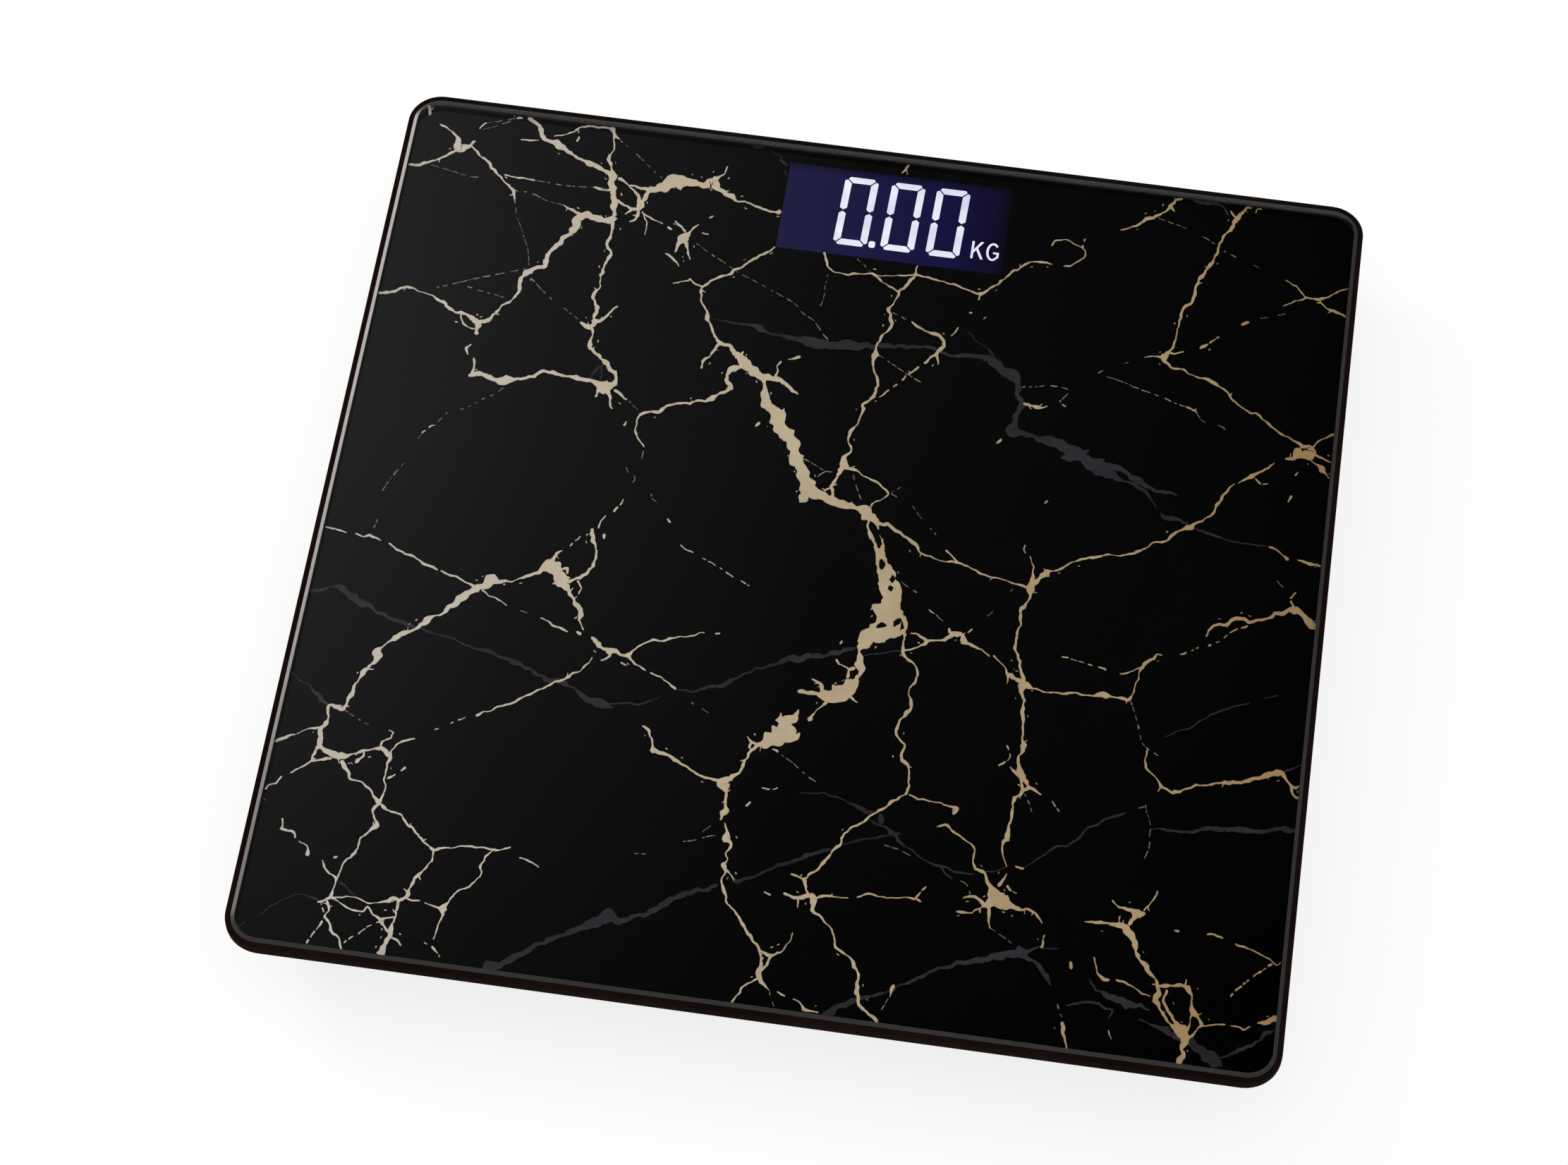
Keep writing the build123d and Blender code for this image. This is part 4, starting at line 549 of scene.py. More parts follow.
# Smoky grey veins
GREY_VEINS = [
    [(-41, 73.8, .3), (-37, 73.9, .8), (-32, 73.4, .8), (-29, 73.5, 1.7), (-27, 72.7, 1.7), (-24, 71.3, .9),
     (-20, 71.2, 1.7), (-16, 71, 1.9), (-12, 70.6, 2.9), (-8, 70.2, 2.9), (-4, 70.6, 2.5), (0, 71.3, 2.7),
     (5, 71.8, 2.1), (9, 72.4, 1.7), (14, 73, 1.4), (20, 73.6, 1.2), (24, 72.8, 1.3), (28, 71.8, 1),
     (31, 72.3, 1.5), (34, 72.6, 1.5), (38, 72.4, 1.9), (40, 71, 2.3), (42.5, 69, 2.7), (45.5, 67.8, 3.3),
     (47.2, 65.5, 1.9), (48, 62, 1.7), (49, 58.5, 2.1), (48.5, 55.5, 1.5), (48, 52, 2.1), (48.2, 49.5, 3.4),
     (52, 48.8, 1.9), (58, 47.6, 2.5), (62, 46.5, 3.3), (66, 44.5, 4.7), (70, 42.3, 4.4), (73.5, 40.6, 4),
     (76.5, 39, 3.2), (80, 37.6, 1.3), (84, 36.6, 1.3), (88, 33.5, 1.1), (90.5, 30.3, .6)],
    [(62.5, 42.6, 1), (66, 43, 2.4)],
    [(68.5, 44.5, 2), (69.8, 46.2, .6)],
    [(72, 41, 2), (77, 41.6, 2.4), (81, 40.5, 1.3), (85, 37.8, 2), (89, 36, 1.1), (93, 35.6, 1.3),
     (96, 35, .5)],
    [(92, 28.5, .6), (93, 27.5, 1.6), (97, 27, 1.3), (100, 26.2, .9)],
    [(102, 25, .5), (106, 24, 1), (110, 23, .5), (116, 22.2, .5), (122, 22.2, .5)],
    [(-38.5, 137.6, 1.8), (-36.5, 136.5, 1.3), (-35.5, 135.2, .5)],
    [(-33.5, 135, .4), (-31, 133.5, .7), (-30, 132, 1.5), (-29, 131, 1.3), (-28, 130.5, .6)],
    [(-28.4, 128.5, .7), (-27.9, 127, .9)],
    [(90.5, 136.5, 1), (93, 137, 1.7), (96, 136.8, 1.5), (98, 135.5, .9), (100, 134, .6),
     (100.8, 132.5, .8)],
    [(-137.5, -31.5, 1.6), (-134, -30.7, 1), (-131, -29.2, 1.1), (-129, -29.3, 1.7), (-126, -31.3, 2.3),
     (-123.5, -32.8, 2.1), (-120.5, -33.5, 1.7), (-118, -35.3, 1.1), (-114, -36.8, 1.1), (-110, -37.8, 1.1),
     (-106, -38.8, 1.1), (-101, -39.8, .9), (-96, -40.8, .7), (-90.5, -42.3, .7), (-87, -42.8, 1.5),
     (-83, -43.8, 1.3), (-79, -45.2, 1.7), (-75, -46.2, 1.3), (-71, -48, 1.3), (-67.5, -49.2, 1.7),
     (-64, -49.8, 1.9), (-61, -51, .6), (-58.5, -52.3, 1.3), (-55.5, -54, 2.1), (-51.5, -54.8, 2.1),
     (-49, -55.3, .8)],
    [(-51, -54.5, .7), (-47, -53.6, .6), (-42, -53, 1), (-39, -51.5, .7), (-36.5, -50, .4)],
    [(-32.5, -47.2, .5), (-27, -46.8, .9), (-24, -45, 1.1), (-20, -43.5, 1.3), (-16, -40.3, .8),
     (-11, -37.2, .8), (-7, -35.2, 1.3), (-3, -33, 1.9), (1, -32, 1.9), (5, -30.8, 1.7), (9, -29.3, 2),
     (11.5, -28, 1.5), (13.5, -27, .7)],
    [(16.5, -29, .5), (20, -27.8, .5), (26.5, -26, .5)],
    [(-68.5, -137.4, 3), (-65, -135, 2.1), (-60, -131.5, 1.7), (-56, -128, 1.6), (-51, -125, 1.6),
     (-47.5, -122.5, 1.9), (-44, -120.3, 2.7), (-40, -118.2, 3.2), (-36, -118.2, 1.7), (-31, -115.8, 1.6),
     (-27, -113, 1.7), (-23, -109.5, 1.9), (-19, -107, 1.7), (-15.5, -106, 1.5), (-13, -104.3, 1.2)],
    [(15.5, -89, 1.1), (11, -91.5, 1.1), (8, -93.3, 1.3), (3, -95.8, 1.1), (-1, -98.5, 1), (-5, -101, .8),
     (-8.5, -102.4, 1.7)],
    [(18.5, -87.3, .5), (23, -85.5, .6), (28, -83.5, .8), (33, -81.7, 1)],
    [(16.5, -73.8, .5), (19, -74.8, .9), (22, -76.2, 1.5), (25.5, -77, 1.3)],
    [(24, -78.5, .5), (28, -80.2, .9), (31.5, -82.3, 1.6), (34, -84.5, .8), (36.5, -86.3, .6),
     (39, -87.8, .5), (43, -89.5, .4)],
    [(27.2, -76.8, .9), (28, -79, 1.5)],
    [(5, -73.4, .4), (8, -73.3, .5), (11, -72.8, .5), (14, -73.2, .5), (16.5, -73.8, .5)],
    [(20.5, -137.4, 2), (24, -134.8, 1.7), (28, -132.3, 1.7), (32, -130.3, 1.2), (36, -128.5, .9),
     (39, -126.3, .8), (43, -123.5, 1.2), (46.5, -121, 1.1), (49.5, -119.3, 1.1), (53, -117.8, 1.4),
     (57, -116.3, 1.7), (61, -115, 1.9), (65, -113.3, 2.1), (69, -112.3, 2.7), (72, -110.8, 1.1),
     (75, -109.8, .7), (79, -109.3, .8)],
    [(69, -112.8, 1.6), (73, -114, 1.1), (75.5, -116, 1.5), (78, -120, .8)],
    [(42, -89.5, .6), (46, -90, .9), (50, -91, .7), (54, -91, .7)],
    [(45.5, -90.5, .5), (48.5, -93, .6)],
    [(98.8, -70.7, .5), (103, -70.2, .7), (108, -70, 1), (112, -69, 1.4), (115, -68, 1.7),
     (119, -67.5, 1.4), (123, -67, 1.6), (127, -67, 1.6), (131, -65.8, 1.3), (134, -65, 1.7),
     (137.5, -65.4, 1.3)],
    [(67.3, -86.8, .4), (70, -84.5, .5), (73, -81.5, .5), (75, -79.8, .8), (78, -78.5, .5), (81, -75.5, .8),
     (81.8, -73.5, .8), (86, -70.3, .8), (89, -68.3, .8), (92.3, -66.6, .6)],
    [(62.5, -87.5, .4), (60, -89, .4), (57, -89.7, .5)],
    [(88, -117, .5), (90, -119.5, 1.1), (93, -121, 1.4), (96, -122, 2.3), (99, -122.5, 2.5),
     (102, -122.8, 1.7), (104.5, -123.5, .6)],
    [(83, -125.5, .6), (87, -124, .9), (91, -123.5, 1), (93, -125, .8), (95, -125, .6), (94.3, -127.6, .6)],
    [(102, -126.5, .5), (105, -127.5, .8), (109, -128.5, 1.7), (113, -130.5, 1.9), (117, -131.5, 2.4),
     (120, -134, 3), (124, -136, 2.6)],
    [(124, -134.5, .6), (127, -133, 1.1), (130.5, -130.5, 1.3), (133, -128.5, 1), (135.5, -126, 1.2),
     (137.5, -124.5, .8)],
    [(-137.5, -57.6, .6), (-134.5, -59.7, .5), (-131.5, -61, .6), (-128.5, -63.5, 1.4), (-125.5, -66, .9)],
    [(-112.5, -118, .5), (-110.5, -119, 1), (-108.5, -120.5, 1), (-107.2, -121.5, .5)],
    [(-116.5, -124.5, .9), (-119, -123.8, .7), (-122, -123.3, .5), (-125, -125, .5), (-128, -127.5, .4),
     (-131, -131, .5)],
    [(-134.5, -133.5, .5), (-136, -135.5, .5)],
    [(100, -42, .4), (103, -40, .5), (107, -38, .6), (110, -35, .6), (114, -31.8, .7), (118, -29.8, .7),
     (121.8, -28.2, .5)],
    [(126, -26, .4), (129.5, -24.5, .5)],
    [(133.2, -47.8, .7), (137.5, -45, .8)],
    [(31.2, 80.8, .3), (34, 78, .4), (36.5, 76.5, .4), (38.5, 75, .7), (39.7, 73.3, .8)],
    [(-71, 53.2, 1), (-72.6, 48.8, 1)],
    [(-70.2, 53.6, .8), (-69.6, 48, 1)],
]

# Black pits in the broadest part of the main vein
PITS = [
    [(18.8, -19.6, 1.3), (19.9, -19.2, 2.1), (20.9, -19, 1.3)],
    [(23.2, -18.6, 1.2), (23.8, -17.6, 2), (24.4, -16.4, 1.3)],
    [(17, 1.8, 1.2), (17.3, .4, 2), (17.5, -.9, 1.2)],
    [(20.5, -2.8, .9), (20.8, -3.8, 1.6), (20.9, -4.8, .9)],
    [(20.3, -6.2, .9), (20.7, -6.9, 1.4), (20.9, -7.8, .8)],
    [(12.4, 12.6, .9), (13.8, 10.1, 1.3), (14.9, 7.6, 1.2), (15.8, 5.6, .8)],
    [(15, 12.6, .7), (15.6, 10.8, 1.1), (16.2, 8.7, .6)],
    [(14, -34.4, .8), (14.3, -35.2, 1.3), (14.1, -36.2, .8)],
]

# Fine grey hairlines, as runs of (x, y) in mm
HAIRLINES = [
    [(-104.5, 106.5), (-102.8, 100.9), (-100.3, 95.6), (-97.8, 90), (-96.3, 84)],
    [(-105.3, 109.7), (-100, 109.4), (-95, 107.5), (-90, 106.6)],
    [(-109, 114.7), (-100, 114.2), (-90, 113.6), (-82.5, 114.2), (-77.6, 114.2)],
    [(-112.5, 74.4), (-105.9, 73.1), (-101.3, 72.2)],
    [(-115, 75.6), (-118.8, 73.8), (-122.5, 72.2)],
    [(-101, 37.8), (-104, 35), (-107, 33)],
    [(-110.5, 31.4), (-113.2, 26.9)],
    [(-116.2, 24), (-117.4, 20.6)],
    [(-119.5, 13), (-122.4, 7), (-124, 2.5)],
    [(-123.4, -6), (-123.8, -9)],
    [(-117.5, 132.2), (-108.7, 135.3)],
    [(-106.3, 127.8), (-101.3, 128.4)],
    [(-11, 94), (-11.2, 90), (-11, 86), (-11.8, 82.5)],
    [(-50, 99.3), (-45, 96), (-42, 94.4), (-37, 91.2), (-31, 88.5), (-26, 86.2), (-19, 82.8), (-16, 79.6),
     (-13, 78), (-9, 73), (-7.5, 72)],
    [(-72.2, 127.8), (-65.3, 121.9), (-63.1, 120.6)],
    [(-77.5, 131.9), (-74, 129.2)],
    [(-130.6, 115), (-125, 113.8), (-119.4, 112.7), (-116.3, 112.8)],
    [(-110.6, 134), (-114.4, 131.6), (-118, 129.6)],
    [(-97.2, 83.1), (-102.5, 80.9), (-109.4, 78.1), (-115, 75.6)],
    [(-95, 80), (-90.6, 75.9), (-86.9, 73.1)],
    [(-84, 71.2), (-81.3, 69.4), (-78.4, 67.2)],
    [(-96.5, 42), (-98.5, 39.5), (-101, 37.8)],
    [(-57.7, 21), (-57, 19.5), (-55, 18.5), (-54.8, 17), (-55.2, 16)],
    [(-53.9, 27), (-53.9, 24.5)],
    [(-49.6, 13.5), (-49, 12), (-47.5, 11)],
    [(-9, 31.3), (-6, 30), (-2.5, 28.2), (0, 28.2)],
    [(-2.5, 28), (-4.5, 25.8)],
    [(5.5, 28), (7, 24), (9, 20)],
    [(16.8, 23.6), (19.5, 22.2)],
    [(23.3, 20.5), (25.5, 17.5), (27, 16)],
    [(29, 14), (31.3, 11.8)],
    [(17, 24), (19, 26)],
    [(7, 69), (10, 67.3), (16, 63.7), (20.8, 61.3)],
    [(-3.3, 100.8), (-1, 98.8), (1.5, 96.3)],
    [(9.3, 84), (11, 83.2), (14.5, 81.8)],
    [(72.3, 71.4), (76, 70.5), (84, 68), (88, 67), (92, 65.5), (95, 64.7)],
    [(49, 64.4), (53, 65), (56, 66), (61.8, 65.4), (61, 62.5), (60, 61), (62.8, 58.8)],
    [(81, 128.2), (85, 127), (89.5, 125.7)],
    [(94.5, 123.5), (98, 121.7)],
    [(101, 119.5), (104.5, 117.8)],
    [(110, 115.8), (111.3, 115.1)],
    [(76.8, 76.7), (78.2, 77.5)],
    [(69.7, 72.3), (71.8, 74)],
    [(113.5, 97.7), (115.5, 98.4)],
    [(118.5, 99.5), (120.3, 100.4)],
    [(98.8, 62.8), (100, 61), (101.3, 60.2)],
    [(105, 59.8), (106, 59.7), (107.2, 58.5)],
    [(90, -32.5), (91.5, -36), (93, -40.5), (94.2, -44.5), (96, -46.2), (99, -48)],
    [(97.3, -63.5), (98, -66), (99.3, -69.5), (99.3, -73), (99.6, -76), (98.5, -80)],
    [(95.5, -64.7), (97.3, -63.5)],
    [(54, -2), (52.3, -5)],
    [(49.5, -9.8), (48, -11.8)],
    [(23.5, -4.5), (26, -6), (29, -7.4)],
    [(32, -12), (34.5, -13.6), (37, -15.6)],
    [(-1.5, -63), (2, -65), (5, -67.5), (9, -69.8)],
    [(-23.8, -92.8), (-20, -91.5), (-17, -90), (-14.5, -89.8)],
    [(-19, -89), (-17, -86.8)],
    [(-36, -98.3), (-32.5, -97.8)],
    [(29.5, -85.8), (33, -86.5), (36, -87.5), (38, -88.5)],
    [(64.8, -65), (66.5, -68), (67.3, -70)],
    [(60.5, -106), (62.5, -107.2), (66.5, -109.5)],
    [(54, -97.5), (53.5, -95.5), (52.5, -94), (51, -93.4)],
    [(-120.5, -67), (-117, -68.8), (-113.3, -70.5)],
    [(-60.5, 42.7), (-57, 40)],
    [(5.5, -133), (6.5, -135.5), (7.5, -137.4)],
    [(-137, -96.6), (-134.5, -98.4)],
    [(36.5, -130.3), (34.8, -135)],
    [(80.5, -125.5), (82, -129)],
    [(126, 11.5), (128, 9.5)],
    [(-79, -29), (-77, -29.6)],
    [(-28, -50.6), (-27, -51.3)],
    [(-25, -52), (-22, -53.6)],
]


def spline_points(points, step):
    """Smooth run through the given points (Catmull-Rom), sampled about every step mm."""
    rows = [Vector(p) for p in points]
    rows = [2 * rows[0] - rows[1]] + rows + [2 * rows[-1] - rows[-2]]
    result = []
    for a, b, c, d in zip(rows, rows[1:], rows[2:], rows[3:]):
        count = max(2, int((c.xy - b.xy).length / step))
        for i in range(count):
            t = i / count
            result.append(0.5 * (2 * b + (c - a) * t + (2 * a - 5 * b + 4 * c - d) * t * t
                                 + (3 * b - a - 3 * c + d) * t * t * t))
    result.append(rows[-2])
    return result


def joined(shapes):
    """Several shapes, each of points and faces, as one."""
    verts, faces = [], []
    for points, polygons in shapes:
        start = len(verts)
        verts += points
        faces += [tuple(start + i for i in polygon) for polygon in polygons]
    return verts, faces


def stacked_loops(loops, closed=False):
    """Faces between rings of equal count, with a lid at each end unless the stack closes on itself."""
    count, verts, faces = len(loops[0]), [v for loop in loops for v in loop], []
    pairs = [(k, k + 1) for k in range(len(loops) - 1)] + ([(len(loops) - 1, 0)] if closed else [])
    for k, after in pairs:
        for i in range(count):
            j = (i + 1) % count
            faces.append((k * count + i, k * count + j, after * count + j, after * count + i))
    if not closed:
        faces += [tuple(reversed(range(count))), tuple(range(len(verts) - count, len(verts)))]
    return verts, faces


def prism(points, foot, top):
    """Upright plate between two heights over an anticlockwise outline."""
    return stacked_loops([[(x, y, z) for x, y in points] for z in (foot, top)])


def rectangle(left, right, front, rear):
    """Corners of a rectangle, anticlockwise."""
    return [(left, front), (right, front), (right, rear), (left, rear)]


def rounded_square(half, corner, steps=10):
    """Points of a rounded square, anticlockwise, in mm."""
    points = []
    for turn, (sx, sy) in enumerate(((1, 1), (-1, 1), (-1, -1), (1, -1))):
        for i in range(steps + 1):
            angle = math.radians(90 * turn + 90 * i / steps)
            points.append((sx * (half - corner) + corner * math.cos(angle),
                           sy * (half - corner) + corner * math.sin(angle)))
    return points


def mesh_object(name, verts, faces, material, body="base", slot=None, smooth=False):
    """Mesh piece in metres from points in mm; it rides on a body."""
    mesh = bpy.data.meshes.new(name)
    mesh.from_pydata([tuple(c * MM for c in v) for v in verts], [], faces)
    mesh.validate()
    mesh.update()
    obj = bpy.data.objects.new(name, mesh)
    bpy.context.scene.collection.objects.link(obj)
    mesh.materials.append(material)
    if smooth:
        mesh.shade_smooth()
        mesh.set_sharp_from_angle(angle=math.radians(20))
    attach(obj, body)
    return obj


def ragged(place, seed):
    """A slow and a fast noise at a point in mm, each about -1 to 1."""
    slow = noise.noise(Vector((place.x * SLOW_NOISE, place.y * SLOW_NOISE, seed)))
    return slow, noise.noise(Vector((place.x * FAST_NOISE, place.y * FAST_NOISE, seed + FAST_SEED)))


def ribbon(points, level, seed):
    """Closed band of print with ragged edges along a run of (x, y, width)."""
    run = spline_points(points, BAND_STEP)
    last = len(run) - 1
    verts, faces = [], []
    for i, p in enumerate(run):
        ahead, behind = run[min(i + 1, last)], run[max(i - 1, 0)]
        way = (ahead.xy - behind.xy).normalized()
        side = Vector((-way.y, way.x))
        slow, fast = ragged(p.xy, seed)
        ease = min(1.0, i / EASE_POINTS, (last - i) / EASE_POINTS)
        middle = p.xy + side * ease * (SLOW_WANDER * slow + FAST_WANDER * fast)
        read = max(p.z, NARROWEST)
        width = read * (THIN_SHARE + BROAD_GAIN * min(read, BROADEST))
        rough = FAST_EDGE / max(1.0, CALMING * width)
        for sign in (1, -1):
            slow, fast = ragged(p.xy, seed + EDGE_SEED + sign * EDGE_SPREAD)
            swell = min(MOST_SWELL, max(LEAST_SWELL, 1 + SLOW_EDGE * slow + rough * fast))
            half = width / 2 * swell + LEAST_EDGE * fast
            place = middle + side * sign * max(half, LEAST_HALF)
            verts += [(place.x, place.y, level), (place.x, place.y, BAND_FOOT)]
    for i in range(last):
        a, b = 4 * i, 4 * i + 4
        faces += [(a + 2, b + 2, b, a), (a + 1, b + 1, b + 3, a + 3),
                  (a, b, b + 1, a + 1), (b + 2, a + 2, a + 3, b + 3)]
    for end, near in ((0, 1), (last, last - 1)):
        a = 4 * end
        left, right = Vector(verts[a]), Vector(verts[a + 2])
        way = (run[end].xy - run[near].xy).normalized().to_3d()
        tip = (left + right) / 2 + way * (left - right).length * TIP_SHARE
        top = len(verts)
        verts += [(tip.x, tip.y, level), (tip.x, tip.y, BAND_FOOT)]
        ends = [(a + 2, a, top), (a + 1, a + 3, top + 1),
                (a, a + 1, top + 1, top), (a + 3, a + 2, top, top + 1)]
        faces += ends if end == 0 else [tuple(reversed(f)) for f in ends]
    return verts, faces


def dashes(points):
    """Broken hairline: a smooth run cut into short dashes of uneven length."""
    run = spline_points([(x, y, 0) for x, y in points], DASH_STEP)
    result, i = [], 0
    while i < len(run) - 3:
        length = random.randint(*DASH_POINTS)
        dash = run[i:i + length + 1]
        if len(dash) > 2:
            width = random.uniform(*DASH_WIDTH)
            result.append([(p.x, p.y, width) for p in (dash[0], dash[len(dash) // 2], dash[-1])])
        i += length + random.randint(*DASH_GAP)
    return result


def broken(runs):
    """The same runs, with the finest ones cut into dashes."""
    result = []
    for run in runs:
        if max(w for x, y, w in run) < FINEST:
            for dash in dashes([(x, y) for x, y, w in run]):
                result.append([(x, y, w * GOLD_DASH_SHARE) for x, y, w in dash])
        else:
            result.append(run)
    return result


def offshoots(runs):
    """Short spurs and loose specks beside the broader veins."""
    result = []
    for run in runs:
        for p, q in zip(run, run[1:]):
            p, q = Vector(p), Vector(q)
            way = q.xy - p.xy
            if p.z < PARENT_WIDTH or way.length < PARENT_RUN:
                continue
            way.normalize()
            side = Vector((-way.y, way.x)) * random.choice((-1, 1))
            chance, reach = random.random(), random.uniform(*OFFSHOOT_REACH)
            foot = (p.xy + q.xy) / 2
            if chance < SPUR_CHANCE:
                tip = foot + (side + way * random.uniform(-SPUR_LEAN, SPUR_LEAN)) * (p.z * SPUR_SHARE + reach)
                spur = (foot, (foot + tip) / 2, tip)
                result.append([(at.x, at.y, width) for at, width in zip(spur, SPUR_WIDTHS)])
            elif chance < SPECK_CHANCE:
                spot = foot + side * (p.z / 2 + reach + random.uniform(*SPECK_AWAY))
                speck = (spot, spot + way * random.uniform(*SPECK_LENGTH))
                result.append([(at.x, at.y, width) for at, width in zip(speck, SPECK_WIDTHS)])
    return result


class Tree:
    """Short way to write a node tree."""

    def __init__(self, tree):
        self.tree = tree

    def add(self, kind, **settings):
        """New node with its properties set."""
        node = self.tree.nodes.new(kind)
        for key, value in settings.items():
            setattr(node, key, value)
        return node

    def feed(self, socket, value):
        """Link an input to the output that feeds it, or set it to a number, vector or colour."""
        if isinstance(value, bpy.types.NodeSocket):
            self.tree.links.new(value, socket)
        else:
            socket.default_value = (*value, 1) if socket.type == "RGBA" else value

    def range(self, source, low, high, to_low, to_high, kind="LINEAR"):
        """Number carried from one span to another."""
        node = self.add("ShaderNodeMapRange", interpolation_type=kind)
        self.feed(node.inputs["Value"], source)
        for key, value in zip(("From Min", "From Max", "To Min", "To Max"), (low, high, to_low, to_high)):
            self.feed(node.inputs[key], value)
        return node.outputs["Result"]

    def number(self, operation, a, b, clamp=False):
        """One number worked out from two, each an output or a value."""
        node = self.add("ShaderNodeMath", operation=operation, use_clamp=clamp)
        self.feed(node.inputs[0], a)
        self.feed(node.inputs[1], b)
        return node.outputs["Value"]

    def scaled(self, colour, factor):
        """Colour times a number."""
        node = self.add("ShaderNodeVectorMath", operation="SCALE")
        self.feed(node.inputs[0], colour)
        self.feed(node.inputs["Scale"], factor)
        return node.outputs["Vector"]

    def axes(self, vector):
        """The X, Y and Z outputs of a vector."""
        node = self.add("ShaderNodeSeparateXYZ")
        self.feed(node.inputs["Vector"], vector)
        return node.outputs

    def ramp(self, source, stops, kind="LINEAR"):
        """Colour ramp from (position, colour) stops."""
        node = self.add("ShaderNodeValToRGB")
        node.color_ramp.interpolation = kind
        elements = node.color_ramp.elements
        while len(elements) < len(stops):
            elements.new(0.5)
        for element, (position, colour) in zip(elements, stops):
            element.position = position
            element.color = (*colour, 1)
        self.feed(node.inputs["Fac"], source)
        return node.outputs["Color"]

    def mix(self, factor, a, b, kind="RGBA"):
        """Blend of two colours, or of two numbers with kind VALUE, each an output or a value."""
        node = self.add("ShaderNodeMix", data_type="RGBA" if kind == "RGBA" else "FLOAT")
        self.feed(node.inputs["Factor"], factor)
        for key, value in (("A", a), ("B", b)):
            self.feed([s for s in node.inputs if s.name == key and s.type == kind][0], value)
        return [s for s in node.outputs if s.type == kind][0]

    def mix_shader(self, factor, a, b):
        """Blend of two shaders."""
        node = self.add("ShaderNodeMixShader")
        for socket, value in zip(node.inputs, (factor, a, b)):
            self.feed(socket, value)
        return node.outputs["Shader"]


class Look(Tree):
    """Short way to write a procedural material."""

    NOISE_SPAN = (0.3, 0.7)      # nearly all values of a noise lie in it

    def __init__(self, name):
        self.material = bpy.data.materials.new(name)
        self.material.use_nodes = True
        super().__init__(self.material.node_tree)
        self.shader = self.tree.nodes["Principled BSDF"]
        self.place = self.add("ShaderNodeTexCoord").outputs["Object"]

    def set(self, **values):
        """Constant values on the shader's own sockets."""
        for key, value in values.items():
            self.shader.inputs[key.replace("_", " ")].default_value = value
        return self

    def axis(self, name):
        """One coordinate in object space, in metres."""
        return self.axes(self.place)[name]

    def texture(self, kind, place, **values):
        """Outputs of a texture, with its inputs set by name."""
        node = self.add(kind)
        self.feed(node.inputs["Vector"], place)
        for key, value in values.items():
            self.feed(node.inputs[key.replace("_", " ")], value)
        return node.outputs

    def noise(self, scale, detail=3.0, stretch=(1, 1, 1), rough=0.5):
        """Noise in object space; scale counts features per metre."""
        mapping = self.add("ShaderNodeMapping")
        self.feed(mapping.inputs["Vector"], self.place)
        self.feed(mapping.inputs["Scale"], stretch)
        texture = self.texture("ShaderNodeTexNoise", mapping.outputs["Vector"], Scale=scale, Detail=detail,
                               Roughness=rough)
        return texture["Fac"]

    def tones(self, source, dark, light):
        """Colour between two tones, by a noise."""
        return self.ramp(source, list(zip(self.NOISE_SPAN, (dark, light))))

    def colour(self, source):
        self.feed(self.shader.inputs["Base Color"], source)

    def glow(self, source):
        self.feed(self.shader.inputs["Emission Color"], source)

    def roughness(self, source, low, high, span=NOISE_SPAN):
        self.feed(self.shader.inputs["Roughness"], self.range(source, *span, low, high))

    def bump(self, source, strength, distance=0.0002):
        node = self.add("ShaderNodeBump")
        for key, value in (("Strength", strength), ("Distance", distance), ("Height", source)):
            self.feed(node.inputs[key], value)
        self.feed(self.shader.inputs["Normal"], node.outputs["Normal"])


def srgb(code):
    """Linear colour from a hex code."""
    parts = [int(code[i:i + 2], 16) / 255 for i in (0, 2, 4)]
    return tuple(c / 12.92 if c <= 0.04045 else ((c + 0.055) / 1.055) ** 2.4 for c in parts)


def grey(value, tint=0.0):
    """Linear grey, with a little more blue where tinted."""
    return (value, value, value + tint)


def moulded(name, dark, light, grain=1400, rough=(0.5, 0.62), strength=0.25, specular=0.3):
    """Fine-textured moulded plastic: spark-eroded grain, slow shade drift, faint scuffs."""
    m = Look(name)
    m.colour(m.tones(m.noise(9, 2), dark, light))
    m.roughness(m.noise(160, 4, (1, 0.25, 1)), *rough)
    m.bump(m.noise(grain, 4, rough=0.65), strength)
    return m.set(Specular_IOR_Level=specular).material


def tray_material():
    """Matt brown-black moulding, textured all over; its underside is painted a little lighter, painted light
    against the shade the underside lies in.
    """
    m = Look("tray_moulded")
    texture, drift = m.noise(1400, 3, rough=0.7), m.noise(40, 3)
    wall = m.tones(drift, (0.0046, 0.0022, 0.0016), (0.0074, 0.0038, 0.0027))
    # Underside tone: painted light, the same moulding made lighter where it lies in the scale's own shade
    lit_under = m.tones(drift, (0.018, 0.0163, 0.0156), (0.022, 0.02, 0.0191))
    m.colour(m.mix(m.range(m.axis("Z"), 0.0055, 0.0125, 1, 0), wall, lit_under))
    m.roughness(texture, 0.5, 0.62)
    m.bump(texture, 0.25, 0.00004)
    return m.set(Specular_IOR_Level=0.006).material


def metal(name, dark, light, stretch, scale=900, rough=(0.25, 0.42)):
    """Plated or brushed metal with fine drawn lines."""
    m = Look(name)
    lines = m.noise(scale, 4, stretch)
    m.colour(m.tones(lines, dark, light))
    m.roughness(m.noise(240, 3), *rough)
    m.bump(lines, 0.12, 0.0001)
    return m.set(Metallic=1.0).material


def rubber(name, dark, light, rough=(0.75, 0.9), grain=2200, strength=0.3):
    """Matt rubber or foam with a fine open skin."""
    m = Look(name)
    m.colour(m.tones(m.noise(60, 4), dark, light))
    m.roughness(m.noise(300, 3), *rough)
    m.bump(m.noise(grain, 5, rough=0.7), strength)
    return m.set(Specular_IOR_Level=0.25).material


